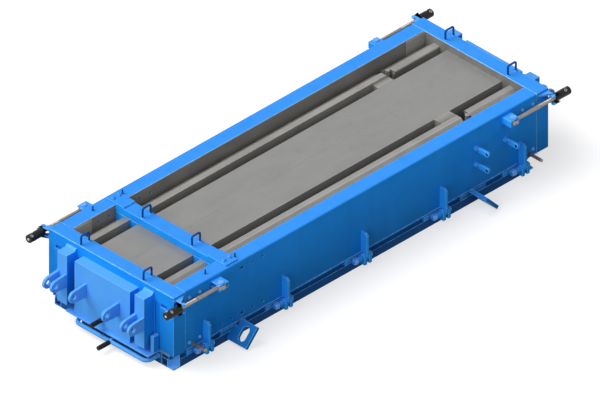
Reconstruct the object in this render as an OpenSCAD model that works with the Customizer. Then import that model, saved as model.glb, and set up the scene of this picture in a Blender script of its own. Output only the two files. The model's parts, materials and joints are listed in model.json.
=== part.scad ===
// Steel mould for long precast concrete blocks, with two sides that tilt out on hinges,
// two end panels held by swing bolts, a raised core table and a lift-out divider.
// X runs along the mould to its far end, Y to its left, Z up.
// The origin is on the floor under the middle of the frame.

/* [Overall] */
// Length over the two end panels
frame_l = 3600; // [3500:10:3800]
// Width over the two side walls
frame_w = 1200; // [1180:2:1240]
// Height of the flange tops above the floor
frame_h = 595; // [585:1:640]

/* [Plates and clearances] */
// Thickness of the plates that the walls, core and end panels are folded from
plate_t = 8; // [6:0.5:10]
// Gap between pieces of different moving groups that lie on or beside each other
seat = 0.3; // [0.2:0.05:0.5]
// Gap between the end of a side wall and the end panel
seam_gap = 0.6; // [0.4:0.1:2]
// Radial clearance of a pin or shank in its hole
run_c = 0.05; // [0.02:0.01:0.1]

/* [Pallet] */
// Height of the deck's top above the floor
deck_top = 108; // [106:1:109]
// Thickness of the deck plate
deck_t = 10; // [8:1:14]
// Height of the outer rails
rail_h = 66; // [58:1:70]
// Width of an outer rail
rail_w = 120; // [100:2:130]
// How far the band above the outer rails is set back from their face
recess = 40; // [30:1:50]
// How far the pallet stops short of the far end
pallet_short = 146; // [100:2:170]
// How far the deck runs on under the far end panel
deck_overrun = 60; // [20:1:100]
// Width of a cross member
cross_w = 80; // [60:2:100]
// Number of cross members
cross_count = 9; // [5:1:11]
// How far the ledge stands out under the near end panel
ledge_out = 110; // [80:1:112]
// Distance of the ledge's right end from the right face
ledge_right_in = 135; // [120:1:160]
// Distance of the ledge's left end from the left face
ledge_left_in = 271; // [250:1:300]
// Thickness of the ledge plate
ledge_t = 12; // [8:1:16]
// Depth of the gussets under the ledge, at the end panel
gusset_h = 22; // [16:1:28]
// How far a gusset stops short of the ledge's edge
gusset_short = 14; // [5:1:30]
// Side of the open pocket in each corner foot
foot_w = 62; // [50:1:70]
// Thickness of a foot's base plate
foot_t = 12; // [8:1:16]
// Thickness of a foot's inner walls
foot_wall = 6; // [4:1:8]

/* [Lifting lugs] */
// Distance of a lug's middle from the pallet's end
lug_end = 575; // [560:1:620]
// Length of a lug along its slope
lug_l = 172; // [160:1:174]
// How far a lug stands out from the pallet
lug_out = 184; // [165:1:200]
// Plate thickness of a lug
lug_t = 28; // [20:1:32]
// Slope of a lug from the floor
lug_slope = 47; // [40:1:50]
// Height of a lug's lower edge
lug_low = 4; // [2:1:8]
// Radius of a lug's outer corners
lug_corner = 10; // [6:1:20]
// Length of the slot in a lug
lug_slot_l = 112; // [90:1:116]
// Width of the slot in a lug
lug_slot_w = 62; // [50:1:64]
// Distance of the slot's middle from the side of the pallet
lug_slot_out = 110; // [104:1:114]

/* [Side walls] */
// Thickness of a side wall, which is a closed box
wall_t = 120; // [110:1:128]
// Radius of the outer top edge
edge_r = 12; // [6:1:20]
// How far the lip along the bottom edge stands out
lip = 4; // [2:0.5:4]
// Height of that lip
lip_h = 8; // [5:1:12]
// Pitch of the rows of clamping holes
row_pitch = 100; // [90:1:104]
// Diameter of a clamping hole
row_hole_d = 17; // [12:0.5:20]
// Length of the slotted hole in each row
row_slot_l = 34; // [26:1:44]
// Distance of the first hole from the near end
row_back = 360; // [350:1:370]
// Depth of the upper row below the flange top
row_high_drop = 62; // [55:1:70]
// Height of the lower row above the wall's bottom edge
row_low_up = 53; // [48:1:60]
// Thickness of a stiffener inside the wall
stiffener_t = 10; // [6:1:14]
// Number of stiffeners inside a wall
stiffener_count = 6; // [4:1:7]
// Distance of the outermost stiffeners from the ends
stiffener_back = 300; // [280:5:320]

/* [End liners] */
// Length of a liner along the wall
liner_l = 176; // [170:1:190]
// Thickness of a liner
liner_t = 6; // [4:0.5:8]
// Distance of the outer liner bolts from the end
liner_bolt_a = 150; // [145:1:160]
// Distance of the inner liner bolts from the end
liner_bolt_b = 250; // [242:1:251]
// Diameter of a liner bolt's shank
liner_bolt_d = 12; // [8:1:14]

/* [Formers] */
// How far a former stands in from the wall
former_in = 142; // [130:1:144]
// Depth of a former's top below the flange top
former_drop = 54; // [50:1:70]
// Width of the flat on a former's top
former_flat = 44; // [30:1:60]
// Height of the slope from that flat down to the wall
former_slope = 73; // [50:1:90]
// Distance of the main former's far end from the far end of the mould
split_back = 619; // [600:1:640]
// Gap between the main former and the far former
former_gap = 77; // [60:1:90]
// Length of the block at the far end of the main former
block_l = 145; // [120:1:160]
// Gap between that block and the core table
block_gap = 1.5; // [1:0.5:3]
// Radius of the bead along the top of the far former
bead_r = 13; // [10:1:18]
// Radius of the upright bar at the far former's end
post_r = 17; // [10:1:20]

/* [Core table] */
// Width of the groove between the core table and a former
groove_w = 73; // [70:1:80]
// Depth of the core table's top below the flange top
core_drop = 55; // [50:1:70]
// Width of the seam between the two core shells
core_seam = 1; // [0.6:0.1:3]
// Number of bulkheads inside the core
bulkhead_count = 9; // [3:1:12]
// Thickness of a bulkhead
bulkhead_t = 10; // [6:1:16]

/* [Divider] */
// Distance of the divider from the near end of the mould
divider_back = 578; // [565:1:590]
// Width of the divider
divider_w = 114; // [100:1:124]
// Running gap between the divider and what it stands between
divider_gap = 2; // [1:0.5:4]
// Thickness of the tab plates
tab_t = 12; // [8:1:16]
// How far a tab reaches over the flange
tab_out = 100; // [80:1:108]
// How far a tab reaches in over the beam
tab_in = 77; // [50:1:90]

/* [Hinges] */
// Number of hinges on each side
hinge_count = 5; // [3:1:5]
// Distance of the outermost hinges from the ends
hinge_end = 284; // [284:1:300]
// Distance of the hinge axis outside the wall's face
hinge_out = 32; // [32:0.5:34]
// Height of the hinge axis above the floor
hinge_z = 90; // [88:1:91]
// Radius of the round top of the fixed lugs
hinge_lug_r = 30; // [28:0.5:31]
// Thickness of a fixed lug
hinge_lug_t = 25; // [18:1:30]
// Thickness of the leaf on the side wall
leaf_t = 20; // [14:1:21]
// Height of the leaf's top above the floor
leaf_top = 280; // [240:1:300]
// How far the leaf stands out from the wall
leaf_out = 58; // [52:1:60]
// Radius of the hinge pin
hinge_pin_r = 14; // [10:0.5:16]
// Length of the sleeve on the hinge pin
hinge_sleeve_l = 52; // [40:1:60]

/* [Swing bolts] */
// Distance of a swing bolt's pivot from the end of the mould
bolt_back = 395; // [385:1:430]
// Distance of the swing bolts outside the wall's face
bolt_out = 60; // [56:1:66]
// Depth of the swing bolts below the flange top
bolt_drop = 55; // [50:1:64]
// Radius of the bolt's rod
bolt_r = 15; // [13:0.5:16]
// Radius of the bolt's eye
eye_r = 36; // [32:1:40]
// Radius of the pivot pin through the eye
pivot_r = 12; // [10:0.5:14]
// Radius of the sleeve nut
nut_r = 30; // [27:0.5:32]
// Length of the sleeve nut
nut_l = 139; // [134:1:160]
// Length of the rod inside the nut
nut_grip = 76; // [60:1:80]
// Gap between the nut and the fork plates, which lets the nut swing clear
nut_gap = 1.8; // [1.6:0.1:4]
// Diameter of the cross holes for a turning bar
bar_hole_d = 14; // [10:0.5:16]
// Distance between the two cross holes of a sleeve nut
nut_hole_pitch = 24; // [20:1:30]
// Distance of the outer cross hole from the nut's end
nut_hole_end = 20; // [15:1:25]
// Thickness of a fork plate
fork_t = 12; // [8:1:14]
// Thickness of a clevis ear and of the web behind it
clevis_t = 10.5; // [8:0.5:12]
// Gap between a bolt's eye and the clevis web
clevis_gap = 3; // [2:0.5:5]
// How far the clevis ears run on past the pin
clevis_out = 26; // [22:1:30]
// Clearance between the rod and each fork plate
fork_clear = 9.5; // [8:0.5:11]
// Radius of the fork plate's rounded tip
fork_tip_r = 16; // [10:1:18]
// Length of a fork plate along the end beam
fork_l = 95; // [80:1:104]

/* [End panels] */
// Thickness of an end panel
end_t = 112; // [104:1:118]
// Side of the square tube along the top
beam_w = 100; // [90:1:100]
// Width of a corner post
post_w = 130; // [110:1:140]
// Width of the notch at the top of a corner post
notch_w = 67; // [50:1:80]
// Height of that notch
notch_h = 30; // [20:1:40]
// How far the panel between the posts is set back
panel_back = 10; // [6:1:16]
// Space between the end box and a column
box_gap = 59; // [50:1:70]
// How far the end box stands out from the end
box_out = 87; // [80:1:92]
// Depth of the end box's top below the flange top
box_drop = 67; // [55:1:80]
// Distance of a column's middle from the side face
column_in = 229; // [220:1:234]
// Width of a column
column_w = 92; // [84:1:100]
// How far a column stands out from the end
column_out = 101; // [96:1:110]
// Depth of a column's top below the flange top
column_drop = 49; // [40:1:60]
// Height of a column's foot above the floor
column_foot = 141; // [125:1:170]
// Length of the nib on a column's top
nib_l = 26; // [15:1:35]
// Height of that nib
nib_h = 16; // [8:1:20]
// How far the stop bracket stands out of the near end panel
stop_out = 58; // [40:1:80]
// Width of the stop bracket
stop_w = 30; // [20:1:40]
// Distance of the stop bracket's middle from the right face
stop_in = 149; // [140:1:155]
// Height of the stop bracket above the deck
stop_h = 132; // [100:1:160]

/* [End lugs] */
// Distance of the lug axis outside the end
eye_out = 203; // [195:1:215]
// Height of the lug axis above the floor
eye_z = 342; // [320:1:350]
// Radius of a lug's nose
nose_r = 46; // [40:1:50]
// Radius of the hole in a lug
eye_hole_r = 20; // [14:0.5:24]
// Plate thickness of an end lug
end_lug_t = 20; // [14:1:26]
// Height of a lug where it meets the panel
end_lug_root = 110; // [100:1:130]
// Distance of the box lugs from the middle of the mould
box_lug_y = 158; // [140:1:180]
// Spacing of the two lugs on a column
column_lug_pitch = 71; // [64:1:76]

/* [Hand bows] */
// Spacing of a bow's legs
bow_w = 77; // [70:1:84]
// Height of a bow
bow_h = 75; // [60:1:90]
// Radius of the bow's bar
bow_r = 7.5; // [5:0.5:9]
// Bend radius of a bow
bow_bend = 16; // [12:1:24]
// Distance of the end bows from the side faces
end_bow_in = 300; // [280:1:320]
// Distance of the divider's bows from the core table's edge
divider_bow_in = 28; // [20:1:40]

/* [Side screws and pins] */
// Radius of a clamp screw's shank
screw_r = 12; // [8:0.5:14]
// Length of a clamp screw's flat stem
stem_l = 112; // [90:1:130]
// Height of a clamp screw's flat stem
stem_h = 38; // [34:1:44]
// Thickness of a clamp screw's flat stem
stem_t = 18; // [12:1:20]
// Radius of the hole in that stem
stem_hole_r = 11; // [8:0.5:13]
// Depth of the upper clamp screw below the flange top
screw_high_drop = 157; // [150:1:170]
// Depth of the lower clamp screw below the flange top
screw_low_drop = 289; // [275:1:300]
// Depth of the far clamp screw below the flange top
screw_far_drop = 222; // [205:1:235]
// How far the two clamp screws are off the middle of the main former's block
screw_off = 9; // [0:1:20]
// Distance of the far clamp screw from the near end of the far former
screw_far_in = 122; // [110:1:140]
// Radius of a locking pin
lock_r = 12; // [9:0.5:12.5]
// How far a locking pin reaches into the wall
lock_in = 70; // [50:1:80]
// How far a locking pin stands out
lock_out = 125; // [100:1:140]
// Distance of a locking pin from the end
lock_back = 185; // [180:1:190]
// Height of the locking pins above the wall's bottom edge
lock_up = 32; // [30:1:34]

/* [Pull bar and latch] */
// Distance of the pull bar outside the near end
bar_out = 110; // [95:1:115]
// Height of the pull bar's middle
bar_z = 57; // [50:1:58]
// Radius of the pull bar
bar_r = 15; // [12:0.5:16]
// Bend radius of the pull bar
bar_bend = 45; // [40:1:50]
// Distance of the pull bar's left end from the left face
bar_left_in = 362; // [340:1:380]
// Distance of the pull bar's right end from the right face
bar_right_in = 148; // [140:1:165]
// Place of the bracket along the pull bar
bar_bracket_y = -105; // [-130:1:-80]
// Width of the bracket that holds the pull bar's middle
bar_bracket_w = 16; // [10:1:24]
// How far that bracket stands above and below the bar
bar_bracket_past = 6; // [3:0.5:7]
// Radius of a black grip
grip_r = 17; // [15:0.5:19]
// Length of a black grip
grip_l = 110; // [100:1:116]
// Height of the latch pin
latch_z = 175; // [165:1:185]
// How far the latch pin runs into the near box
latch_in = 75; // [60:1:80]

/* [Hidden] */

near = -1;
far = 1;
left = 1;
right = -1;
round_fn = 48;
eps = 0.5;

half_l = frame_l / 2;
half_w = frame_w / 2;
end_in = half_l - end_t;
side_half = end_in - seam_gap;
wall_in = half_w - wall_t;
wall_void = wall_t - 2 * plate_t;
side_bottom = deck_top + 1;
pallet_end = half_l - pallet_short;
pallet_l = half_l + pallet_end;
pallet_mid = (pallet_end - half_l) / 2;
rail_in = half_w - rail_w;
band_out = half_w - recess;
band_top = deck_top - deck_t;

row_high = frame_h - row_high_drop;
row_low = side_bottom + row_low_up;
row_x = [for (i = [0:5]) -half_l + row_back + i * row_pitch];
row_slot_index = 3;
stiffener_pitch = (frame_l - 2 * stiffener_back) / (stiffener_count - 1);
stiffener_x = [for (i = [0:stiffener_count - 1]) -half_l + stiffener_back + i * stiffener_pitch];
stiffener_edges = concat([-side_half], stiffener_x, [side_half]);
lock_z = side_bottom + lock_up;

former_face = wall_in - former_in;
former_top = frame_h - former_drop;
former_wall_z = former_top - former_slope;
core_half = former_face - groove_w;
core_top = frame_h - core_drop;
slope_angle = atan(former_slope / (former_in - former_flat));
former_split_x = half_l - split_back;
screw_block_x = former_split_x - block_l / 2 - screw_off;
screw_far_x = former_split_x + former_gap + screw_far_in;
screw_high_z = frame_h - screw_high_drop;
screw_low_z = frame_h - screw_low_drop;
screw_far_z = frame_h - screw_far_drop;
divider_x = -half_l + divider_back;

hinge_y = half_w + hinge_out;
hinge_pitch = (frame_l - 2 * hinge_end) / (hinge_count - 1);
tilt_max = 30;
lug_x = pallet_l / 2 - lug_end;
lug_top = lug_low + lug_l * sin(lug_slope) + lug_t * cos(lug_slope);
lug_clear = hinge_out * (1 - cos(tilt_max))
    + (lug_top + 5 - hinge_z - hinge_out * sin(tilt_max)) * tan(tilt_max);
hinge_x = [for (i = [0:hinge_count - 1]) (i - (hinge_count - 1) / 2) * hinge_pitch];
eye_leaf_r = hinge_lug_r - 2;

bolt_x = half_l - bolt_back;
bolt_y = half_w + bolt_out;
bolt_z = frame_h - bolt_drop;
fork_gap = bolt_r + fork_clear;
fork_out = bolt_out + nut_r - 2;
fork_end_x = half_l - 5;
nut_x = fork_end_x + nut_gap;

beam_top = frame_h + seat;
leg_in = core_half + divider_gap;
leg_out = wall_in - divider_gap;
leg_low = deck_top + 1;
tab_end = wall_in + tab_out;
end_panel_face = half_l - panel_back;
column_y = half_w - column_in;
box_half = column_y - column_w / 2 - box_gap;
end_bow_y = half_w - end_bow_in;
divider_bow_y = core_half - divider_bow_in;
bar_left = half_w - bar_left_in;
bar_right = -half_w + bar_right_in;
lug_pin_y = [-column_y - column_lug_pitch / 2, -column_y + column_lug_pitch / 2, -box_lug_y,
    box_lug_y, column_y - column_lug_pitch / 2, column_y + column_lug_pitch / 2];

paint = "royalblue";
paint_light = "dodgerblue";
paint_dark = "mediumblue";
bare = "darkgray";
black = "#202020";
zinc = "lightsteelblue";

// Placing helpers

module side_of(side) {
    if (side == left) children();
    else mirror([0, 1, 0]) children();
}

module end_of(end) {
    if (end == far) children();
    else mirror([1, 0, 0]) children();
}

// Extrudes a section drawn in Y and Z along X, from x0 to x1
module along_x(x0, x1) {
    translate([x0, 0, 0]) rotate([90, 0, 90]) linear_extrude(x1 - x0) children();
}

// Extrudes a section drawn in X and Z along Y, from y0 to y1
module along_y(y0, y1) {
    translate([0, y1, 0]) rotate([90, 0, 0]) linear_extrude(y1 - y0) children();
}

// Extrudes a section drawn in X and Y along Z, from z0 to z1
module along_z(z0, z1) {
    translate([0, 0, z0]) linear_extrude(z1 - z0) children();
}

module rod_x(x0, x1, y, z, r) {
    translate([x0, y, z]) rotate([0, 90, 0]) cylinder(h = x1 - x0, r = r, $fn = round_fn);
}

module rod_y(y0, y1, x, z, r) {
    translate([x, y0, z]) rotate([-90, 0, 0]) cylinder(h = y1 - y0, r = r, $fn = round_fn);
}

module rod_z(z0, z1, x, y, r) {
    translate([x, y, z0]) cylinder(h = z1 - z0, r = r, $fn = round_fn);
}

module block(x0, x1, y0, y1, z0, z1) {
    translate([x0, y0, z0]) cube([x1 - x0, y1 - y0, z1 - z0]);
}

// A closed box with plate walls
module hollow_block(x0, x1, y0, y1, z0, z1, t) {
    difference() {
        block(x0, x1, y0, y1, z0, z1);
        block(x0 + t, x1 - t, y0 + t, y1 - t, z0 + t, z1 - t);
    }
}

// Point where a line from p touches a circle of radius r round c, on the side given by turn
function touch(p, c, r, turn) =
    let (dx = p[0] - c[0], dy = p[1] - c[1], d = norm([dx, dy]), a = acos(r / d), b = atan2(dy, dx))
    [c[0] + r * cos(b + turn * a), c[1] + r * sin(b + turn * a)];

// A nose of radius r round c, drawn out to the two root points
module nose_2d(c, r, root_a, root_b) {
    translate(c) circle(r, $fn = round_fn);
    polygon([root_a, touch(root_a, c, r, 1), c, touch(root_b, c, r, -1), root_b]);
}

// A bent bar with two legs: legs stand at x = 0 and x = w, and the bar's middle is at height h
module bow(w, h, r, bend) {
    for (x = [0, w]) rod_z(0, h - bend, x, 0, r);
    rod_x(bend, w - bend, 0, h, r);
    for (side = [0, 1])
        translate([side * w, 0, 0]) mirror([side, 0, 0])
            translate([bend, 0, h - bend]) rotate([90, 0, 0])
                rotate([0, 0, 90]) rotate_extrude(angle = 90, $fn = round_fn)
                    translate([bend, 0]) circle(r, $fn = 24);
}

module hex_head(y0, y1, x, z, r) {
    translate([x, y0, z]) rotate([-90, 0, 0]) cylinder(h = y1 - y0, r = r, $fn = 6);
}

// Pallet

module rail_section() {
    difference() {
        union() {
            translate([rail_in, 0]) square([rail_w, rail_h]);
            translate([rail_in, 0]) square([rail_w - recess, band_top]);
        }
        translate([rail_in + plate_t, plate_t]) square([rail_w - 2 * plate_t, rail_h - 2 * plate_t]);
        translate([rail_in + plate_t, rail_h])
            square([rail_w - recess - 2 * plate_t, band_top - rail_h - plate_t]);
    }
}

module pallet_rails() {
    color(paint_dark) for (side = [left, right]) side_of(side) difference() {
        union() {
            along_x(-half_l, pallet_end) rail_section();
            for (x = [-half_l + foot_w, pallet_end - foot_w - plate_t])
                block(x, x + plate_t, rail_in, half_w, 0, rail_h);
        }
        block(-half_l - eps, -half_l + foot_w, half_w - foot_w, half_w + eps, -eps, rail_h + eps);
        block(pallet_end - foot_w, pallet_end + eps, half_w - foot_w, half_w + eps, -eps, rail_h + eps);
    }
}

module pallet_crossmembers() {
    pitch = (pallet_l - cross_w) / (cross_count - 1);
    color(paint_dark) for (i = [0:cross_count - 1])
        hollow_block(-half_l + i * pitch, -half_l + i * pitch + cross_w,
            -rail_in, rail_in, 0, band_top, plate_t);
}

module deck_plate() {
    color(bare) block(-half_l, end_in + deck_overrun, -band_out, band_out, band_top, deck_top);
}

module near_ledge() {
    gusset_t = 12;
    gusset_in = 70;
    y0 = -half_w + ledge_right_in;
    y1 = half_w - ledge_left_in;
    gusset_y = [y0 + gusset_in, (y0 + y1) / 2, y1 - gusset_in];
    color(paint_light) {
        block(-half_l - ledge_out, -half_l, y0, y1, deck_top - ledge_t, deck_top);
        for (y = gusset_y) along_y(y - gusset_t / 2, y + gusset_t / 2)
            polygon([[-half_l, deck_top - ledge_t - gusset_h], [-half_l, deck_top - ledge_t],
                [-half_l - ledge_out + gusset_short, deck_top - ledge_t]]);
    }
}

module stacking_feet() {
    for (side = [left, right], end = [near, far]) {
        x0 = end == near ? -half_l : pallet_end - foot_w;
        wall_x = end == near ? -half_l + foot_w - foot_wall : pallet_end - foot_w;
        color(paint_light) side_of(side) {
            if (side == right || end == far)
                block(x0, x0 + foot_w, half_w - foot_w, half_w, 0, foot_t);
            if (side == right && end == near)
                block(wall_x, wall_x + foot_wall, band_out, half_w, rail_h, band_top);
            block(wall_x, wall_x + foot_wall, half_w - foot_w, half_w, 0, rail_h);
            block(x0, x0 + foot_w, half_w - foot_w, half_w - foot_w + foot_wall, 0, rail_h);
        }
    }
}

// One lug, with its slope rising towards +X from the lower edge at the origin
module lifting_lug() {
    slot_r = lug_slot_w / 2;
    slot_y = half_w + lug_slot_out;
    rotate([0, -lug_slope, 0]) along_z(0, lug_t) difference() {
        union() {
            translate([0, half_w + seat]) square([lug_l, lug_out - lug_corner - seat]);
            translate([lug_corner, half_w + seat])
                square([lug_l - 2 * lug_corner, lug_out - seat]);
            for (x = [lug_corner, lug_l - lug_corner])
                translate([x, half_w + lug_out - lug_corner]) circle(lug_corner, $fn = round_fn);
        }
        for (x = [-1, 1]) translate([lug_l / 2 + x * (lug_slot_l / 2 - slot_r), slot_y])
            circle(slot_r, $fn = round_fn);
        translate([lug_l / 2 - lug_slot_l / 2 + slot_r, slot_y - slot_r])
            square([lug_slot_l - lug_slot_w, lug_slot_w]);
    }
}

module lifting_lugs() {
    root_half = 120;
    clear_h = side_bottom - 3;
    color(paint) for (side = [left, right], end = [near, far])
        side_of(side) translate([pallet_mid, 0, 0]) mirror([end == far ? 1 : 0, 0, 0])
            translate([-lug_x, 0, 0]) {
                difference() {
                    translate([-lug_l / 2 * cos(lug_slope) + lug_t / 2 * sin(lug_slope), 0, lug_low])
                        lifting_lug();
                    block(-lug_l, lug_l, half_w - 1, half_w + lug_clear, clear_h, clear_h + lug_l);
                }
                block(-root_half, root_half, band_out, half_w, rail_h, band_top);
            }
}

// Hinges

module fixed_lug_2d() {
    foot = 38;
    difference() {
        union() {
            translate([hinge_y, hinge_z]) circle(hinge_lug_r, $fn = round_fn);
            translate([half_w + seat, foot])
                square([hinge_y + hinge_lug_r - half_w - seat, hinge_z - foot]);
        }
        translate([hinge_y, hinge_z]) circle(hinge_pin_r + run_c, $fn = round_fn);
    }
}

// Fixed lugs on both sides of the leaf, and the console in the recess that carries them
module hinge_console(x) {
    lug_b = x - seat;
    lug_c = x + leaf_t + seat;
    console_near = 150;
    console_far = 60;
    for (x0 = [lug_b - hinge_lug_t, lug_c]) {
        along_x(x0, x0 + hinge_lug_t) fixed_lug_2d();
        block(x0, x0 + hinge_lug_t, half_w - 10, hinge_y - hinge_pin_r - 3, rail_h + 2, hinge_z);
    }
    block(x - console_near, x + console_far, band_out, half_w, rail_h, band_top);
}

module hinge_consoles() {
    color(paint_light) for (side = [left, right], x = hinge_x) side_of(side) hinge_console(x);
}

module hinge_pin(x) {
    washer_r = 26;
    washer_t = 7;
    nut_corner_r = 23;
    nut_h = 20;
    thread_past = 3;
    head_t = 8;
    lug_face = x - seat - hinge_lug_t;
    pin_far = x + leaf_t + seat + hinge_lug_t + 10;
    sleeve_end = lug_face - hinge_sleeve_l;
    nut_end = sleeve_end - washer_t - nut_h;
    rod_x(nut_end - thread_past, pin_far, hinge_y, hinge_z, hinge_pin_r);
    rod_x(sleeve_end, lug_face, hinge_y, hinge_z, hinge_pin_r + 8);
    rod_x(sleeve_end - washer_t, sleeve_end, hinge_y, hinge_z, washer_r);
    translate([nut_end, hinge_y, hinge_z]) rotate([0, 90, 0])
        cylinder(h = nut_h, r = nut_corner_r, $fn = 6);
    rod_x(pin_far, pin_far + head_t, hinge_y, hinge_z, hinge_pin_r + 6);
}

module hinge_pins() {
    color(zinc) for (side = [left, right], x = hinge_x) side_of(side) hinge_pin(x);
}

module leaf_2d() {
    chamfer = 18;
    difference() {
        union() {
            translate([hinge_y, hinge_z]) circle(eye_leaf_r, $fn = round_fn);
            translate([hinge_y - eye_leaf_r, hinge_z]) square([2 * eye_leaf_r, 40]);
            polygon([[half_w, side_bottom + lip_h], [half_w, leaf_top],
                [half_w + leaf_out - chamfer, leaf_top], [half_w + leaf_out, leaf_top - chamfer],
                [half_w + leaf_out, side_bottom + lip_h]]);
        }
        translate([hinge_y, hinge_z]) circle(hinge_pin_r + run_c, $fn = round_fn);
    }
}

module hinge_leaves(side) {
    color(paint) side_of(side) for (x = hinge_x) difference() {
        along_x(x, x + leaf_t) leaf_2d();
        block(x - 1, x + leaf_t + 1, half_w - 1, half_w + lip, side_bottom - 1, side_bottom + lip_h);
    }
}

// Core table

module core_skin_2d() {
    translate([core_seam / 2, core_top - plate_t]) square([core_half - core_seam / 2, plate_t]);
    translate([core_half - plate_t, deck_top]) square([plate_t, core_top - deck_top]);
}

module core_skin(side) {
    color(bare) side_of(side) along_x(-end_in, end_in) core_skin_2d();
}

module core_ribs() {
    hole_r = 90;
    pitch = (2 * end_in - bulkhead_t) / (bulkhead_count - 1);
    color(bare) for (i = [0:bulkhead_count - 1]) {
        x0 = -end_in + i * pitch;
        along_x(x0, x0 + bulkhead_t) difference() {
            translate([-core_half + plate_t, deck_top])
                square([2 * (core_half - plate_t), core_top - deck_top - plate_t]);
            for (y = [-1, 1]) translate([y * core_half / 2, (deck_top + core_top) / 2])
                circle(hole_r, $fn = round_fn);
        }
    }
}

// End panels

module end_frame(end) {
    beam_t = 6;
    notch_deep = 30;
    beam_low = frame_h - beam_w;
    color(paint) end_of(end) difference() {
        union() {
            hollow_block(half_l - beam_w, half_l, -half_w, half_w, beam_low, frame_h, beam_t);
            for (side = [left, right]) side_of(side) {
                hollow_block(end_in, half_l, half_w - post_w, half_w, deck_top, beam_low, plate_t);
                block(half_l - notch_deep - plate_t, half_l - plate_t / 2, half_w - post_w + eps,
                    half_w - post_w + notch_w + plate_t, beam_low - notch_h - plate_t, beam_low);
            }
            block(end_in, half_l - beam_w, -half_w, half_w, deck_top, frame_h);
            hollow_block(end_in, end_panel_face, -half_w + post_w, half_w - post_w, deck_top,
                beam_low, plate_t);
        }
        for (side = [left, right]) side_of(side)
            block(half_l - notch_deep, half_l + eps, half_w - post_w, half_w - post_w + notch_w,
                beam_low - notch_h, beam_low);
    }
}

// A closed box on the end panel, with a backing that fills the set-back under the beam
module panel_box(y0, y1, z0, z1, out) {
    hollow_block(half_l, half_l + out, y0, y1, z0, z1, plate_t);
    block(end_panel_face, half_l, y0, y1, z0, frame_h - beam_w);
}

module end_boxes() {
    color(paint_light) for (end = [near, far]) end_of(end) difference() {
        panel_box(-box_half, box_half, deck_top, frame_h - box_drop, box_out);
        if (end == near) rod_x(half_l, half_l + box_out + eps, 0, latch_z, screw_r + run_c);
    }
}

module end_columns() {
    top = frame_h - column_drop;
    color(paint_light) for (end = [near, far], side = [left, right]) end_of(end) side_of(side) {
        panel_box(column_y - column_w / 2, column_y + column_w / 2, column_foot, top, column_out);
        along_y(column_y - column_w / 2, column_y + column_w / 2)
            polygon([[half_l, top - 1], [half_l, top + nib_h], [half_l + nib_l / 2, top + nib_h],
                [half_l + nib_l, top - 1]]);
    }
}

// Lug plate on a face that stands root_out from the end
module end_lug(y, root_out) {
    along_y(y - end_lug_t / 2, y + end_lug_t / 2) difference() {
        nose_2d([half_l + eye_out, eye_z], nose_r,
            [half_l + root_out, eye_z - end_lug_root / 2], [half_l + root_out, eye_z + end_lug_root / 2]);
        translate([half_l + eye_out, eye_z]) circle(eye_hole_r, $fn = round_fn);
    }
}

module end_lugs(end) {
    color(paint) end_of(end) for (y = lug_pin_y)
        end_lug(y, abs(y) < box_half ? box_out : column_out);
}

module end_bows() {
    color(paint_dark) for (end = [near, far], side = [left, right])
        end_of(end) side_of(side)
            translate([half_l - beam_w / 2 - bow_w / 2, end_bow_y, frame_h])
                bow(bow_w, bow_h, bow_r, bow_bend);
}

module fork_plate_2d() {
    tip = [fork_end_x - fork_tip_r, half_w + fork_out - fork_tip_r];
    root_in = [fork_end_x - fork_l, half_w];
    translate(tip) circle(fork_tip_r, $fn = round_fn);
    polygon([[fork_end_x, half_w], [fork_end_x, tip[1]], tip, touch(root_in, tip, fork_tip_r, 1), root_in]);
}

module fork_plates() {
    color(paint_light) for (end = [near, far], side = [left, right]) end_of(end) side_of(side) {
        along_z(bolt_z + fork_gap, bolt_z + fork_gap + fork_t) fork_plate_2d();
        along_z(bolt_z - fork_gap - fork_t, bolt_z - fork_gap) fork_plate_2d();
    }
}

module stop_bracket() {
    y = -half_w + stop_in;
    color(paint_light)
        block(-half_l - stop_out, -half_l, y - stop_w / 2, y + stop_w / 2, deck_top, deck_top + stop_h);
}

// A black grip with rings cut into it, along X from x0 outwards to x0 - grip_l
module grip(x0, y, z) {
    groove = 2;
    ring_pitch = 12;
    difference() {
        rod_x(x0 - grip_l, x0, y, z, grip_r);
        for (x = [ring_pitch:ring_pitch:grip_l - ring_pitch])
            difference() {
                rod_x(x0 - x - 3, x0 - x, y, z, grip_r + 1);
                rod_x(x0 - x - 4, x0 - x + 1, y, z, grip_r - groove);
            }
    }
}

module pull_bar() {
    bar_l = bar_left - bar_right;
    color(paint_light) {
        translate([-half_l, bar_left, bar_z]) rotate([90, 0, -90])
            bow(bar_l, bar_out, bar_r, bar_bend);
        block(-half_l - bar_out, -half_l, bar_bracket_y - bar_bracket_w / 2,
            bar_bracket_y + bar_bracket_w / 2, bar_z - bar_r - bar_bracket_past,
            bar_z + bar_r + bar_bracket_past);
    }
}

module pull_bar_grip() {
    color(black) grip(-half_l - bar_out - bar_r - seat, bar_bracket_y, bar_z);
}

module latch_pin() {
    face = -half_l - box_out;
    color(black) {
        grip(face - seat, 0, latch_z);
        rod_x(face - 1, face + latch_in, 0, latch_z, screw_r);
    }
}

// Side walls

module side_section() {
    difference() {
        union() {
            translate([wall_in, side_bottom]) square([wall_t, frame_h - side_bottom]);
            translate([half_w - 1, side_bottom]) square([lip + 1, lip_h]);
        }
        translate([half_w - edge_r, frame_h - edge_r]) difference() {
            square(edge_r + 1);
            circle(edge_r, $fn = round_fn);
        }
    }
}

module side_voids() {
    for (i = [0:len(stiffener_edges) - 2]) {
        first = i == 0 ? plate_t : stiffener_t / 2;
        last = i == len(stiffener_edges) - 2 ? plate_t : stiffener_t / 2;
        along_x(stiffener_edges[i] + first, stiffener_edges[i + 1] - last)
            translate([wall_in + plate_t, side_bottom + plate_t])
                square([wall_void, frame_h - side_bottom - 2 * plate_t]);
    }
}

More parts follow.
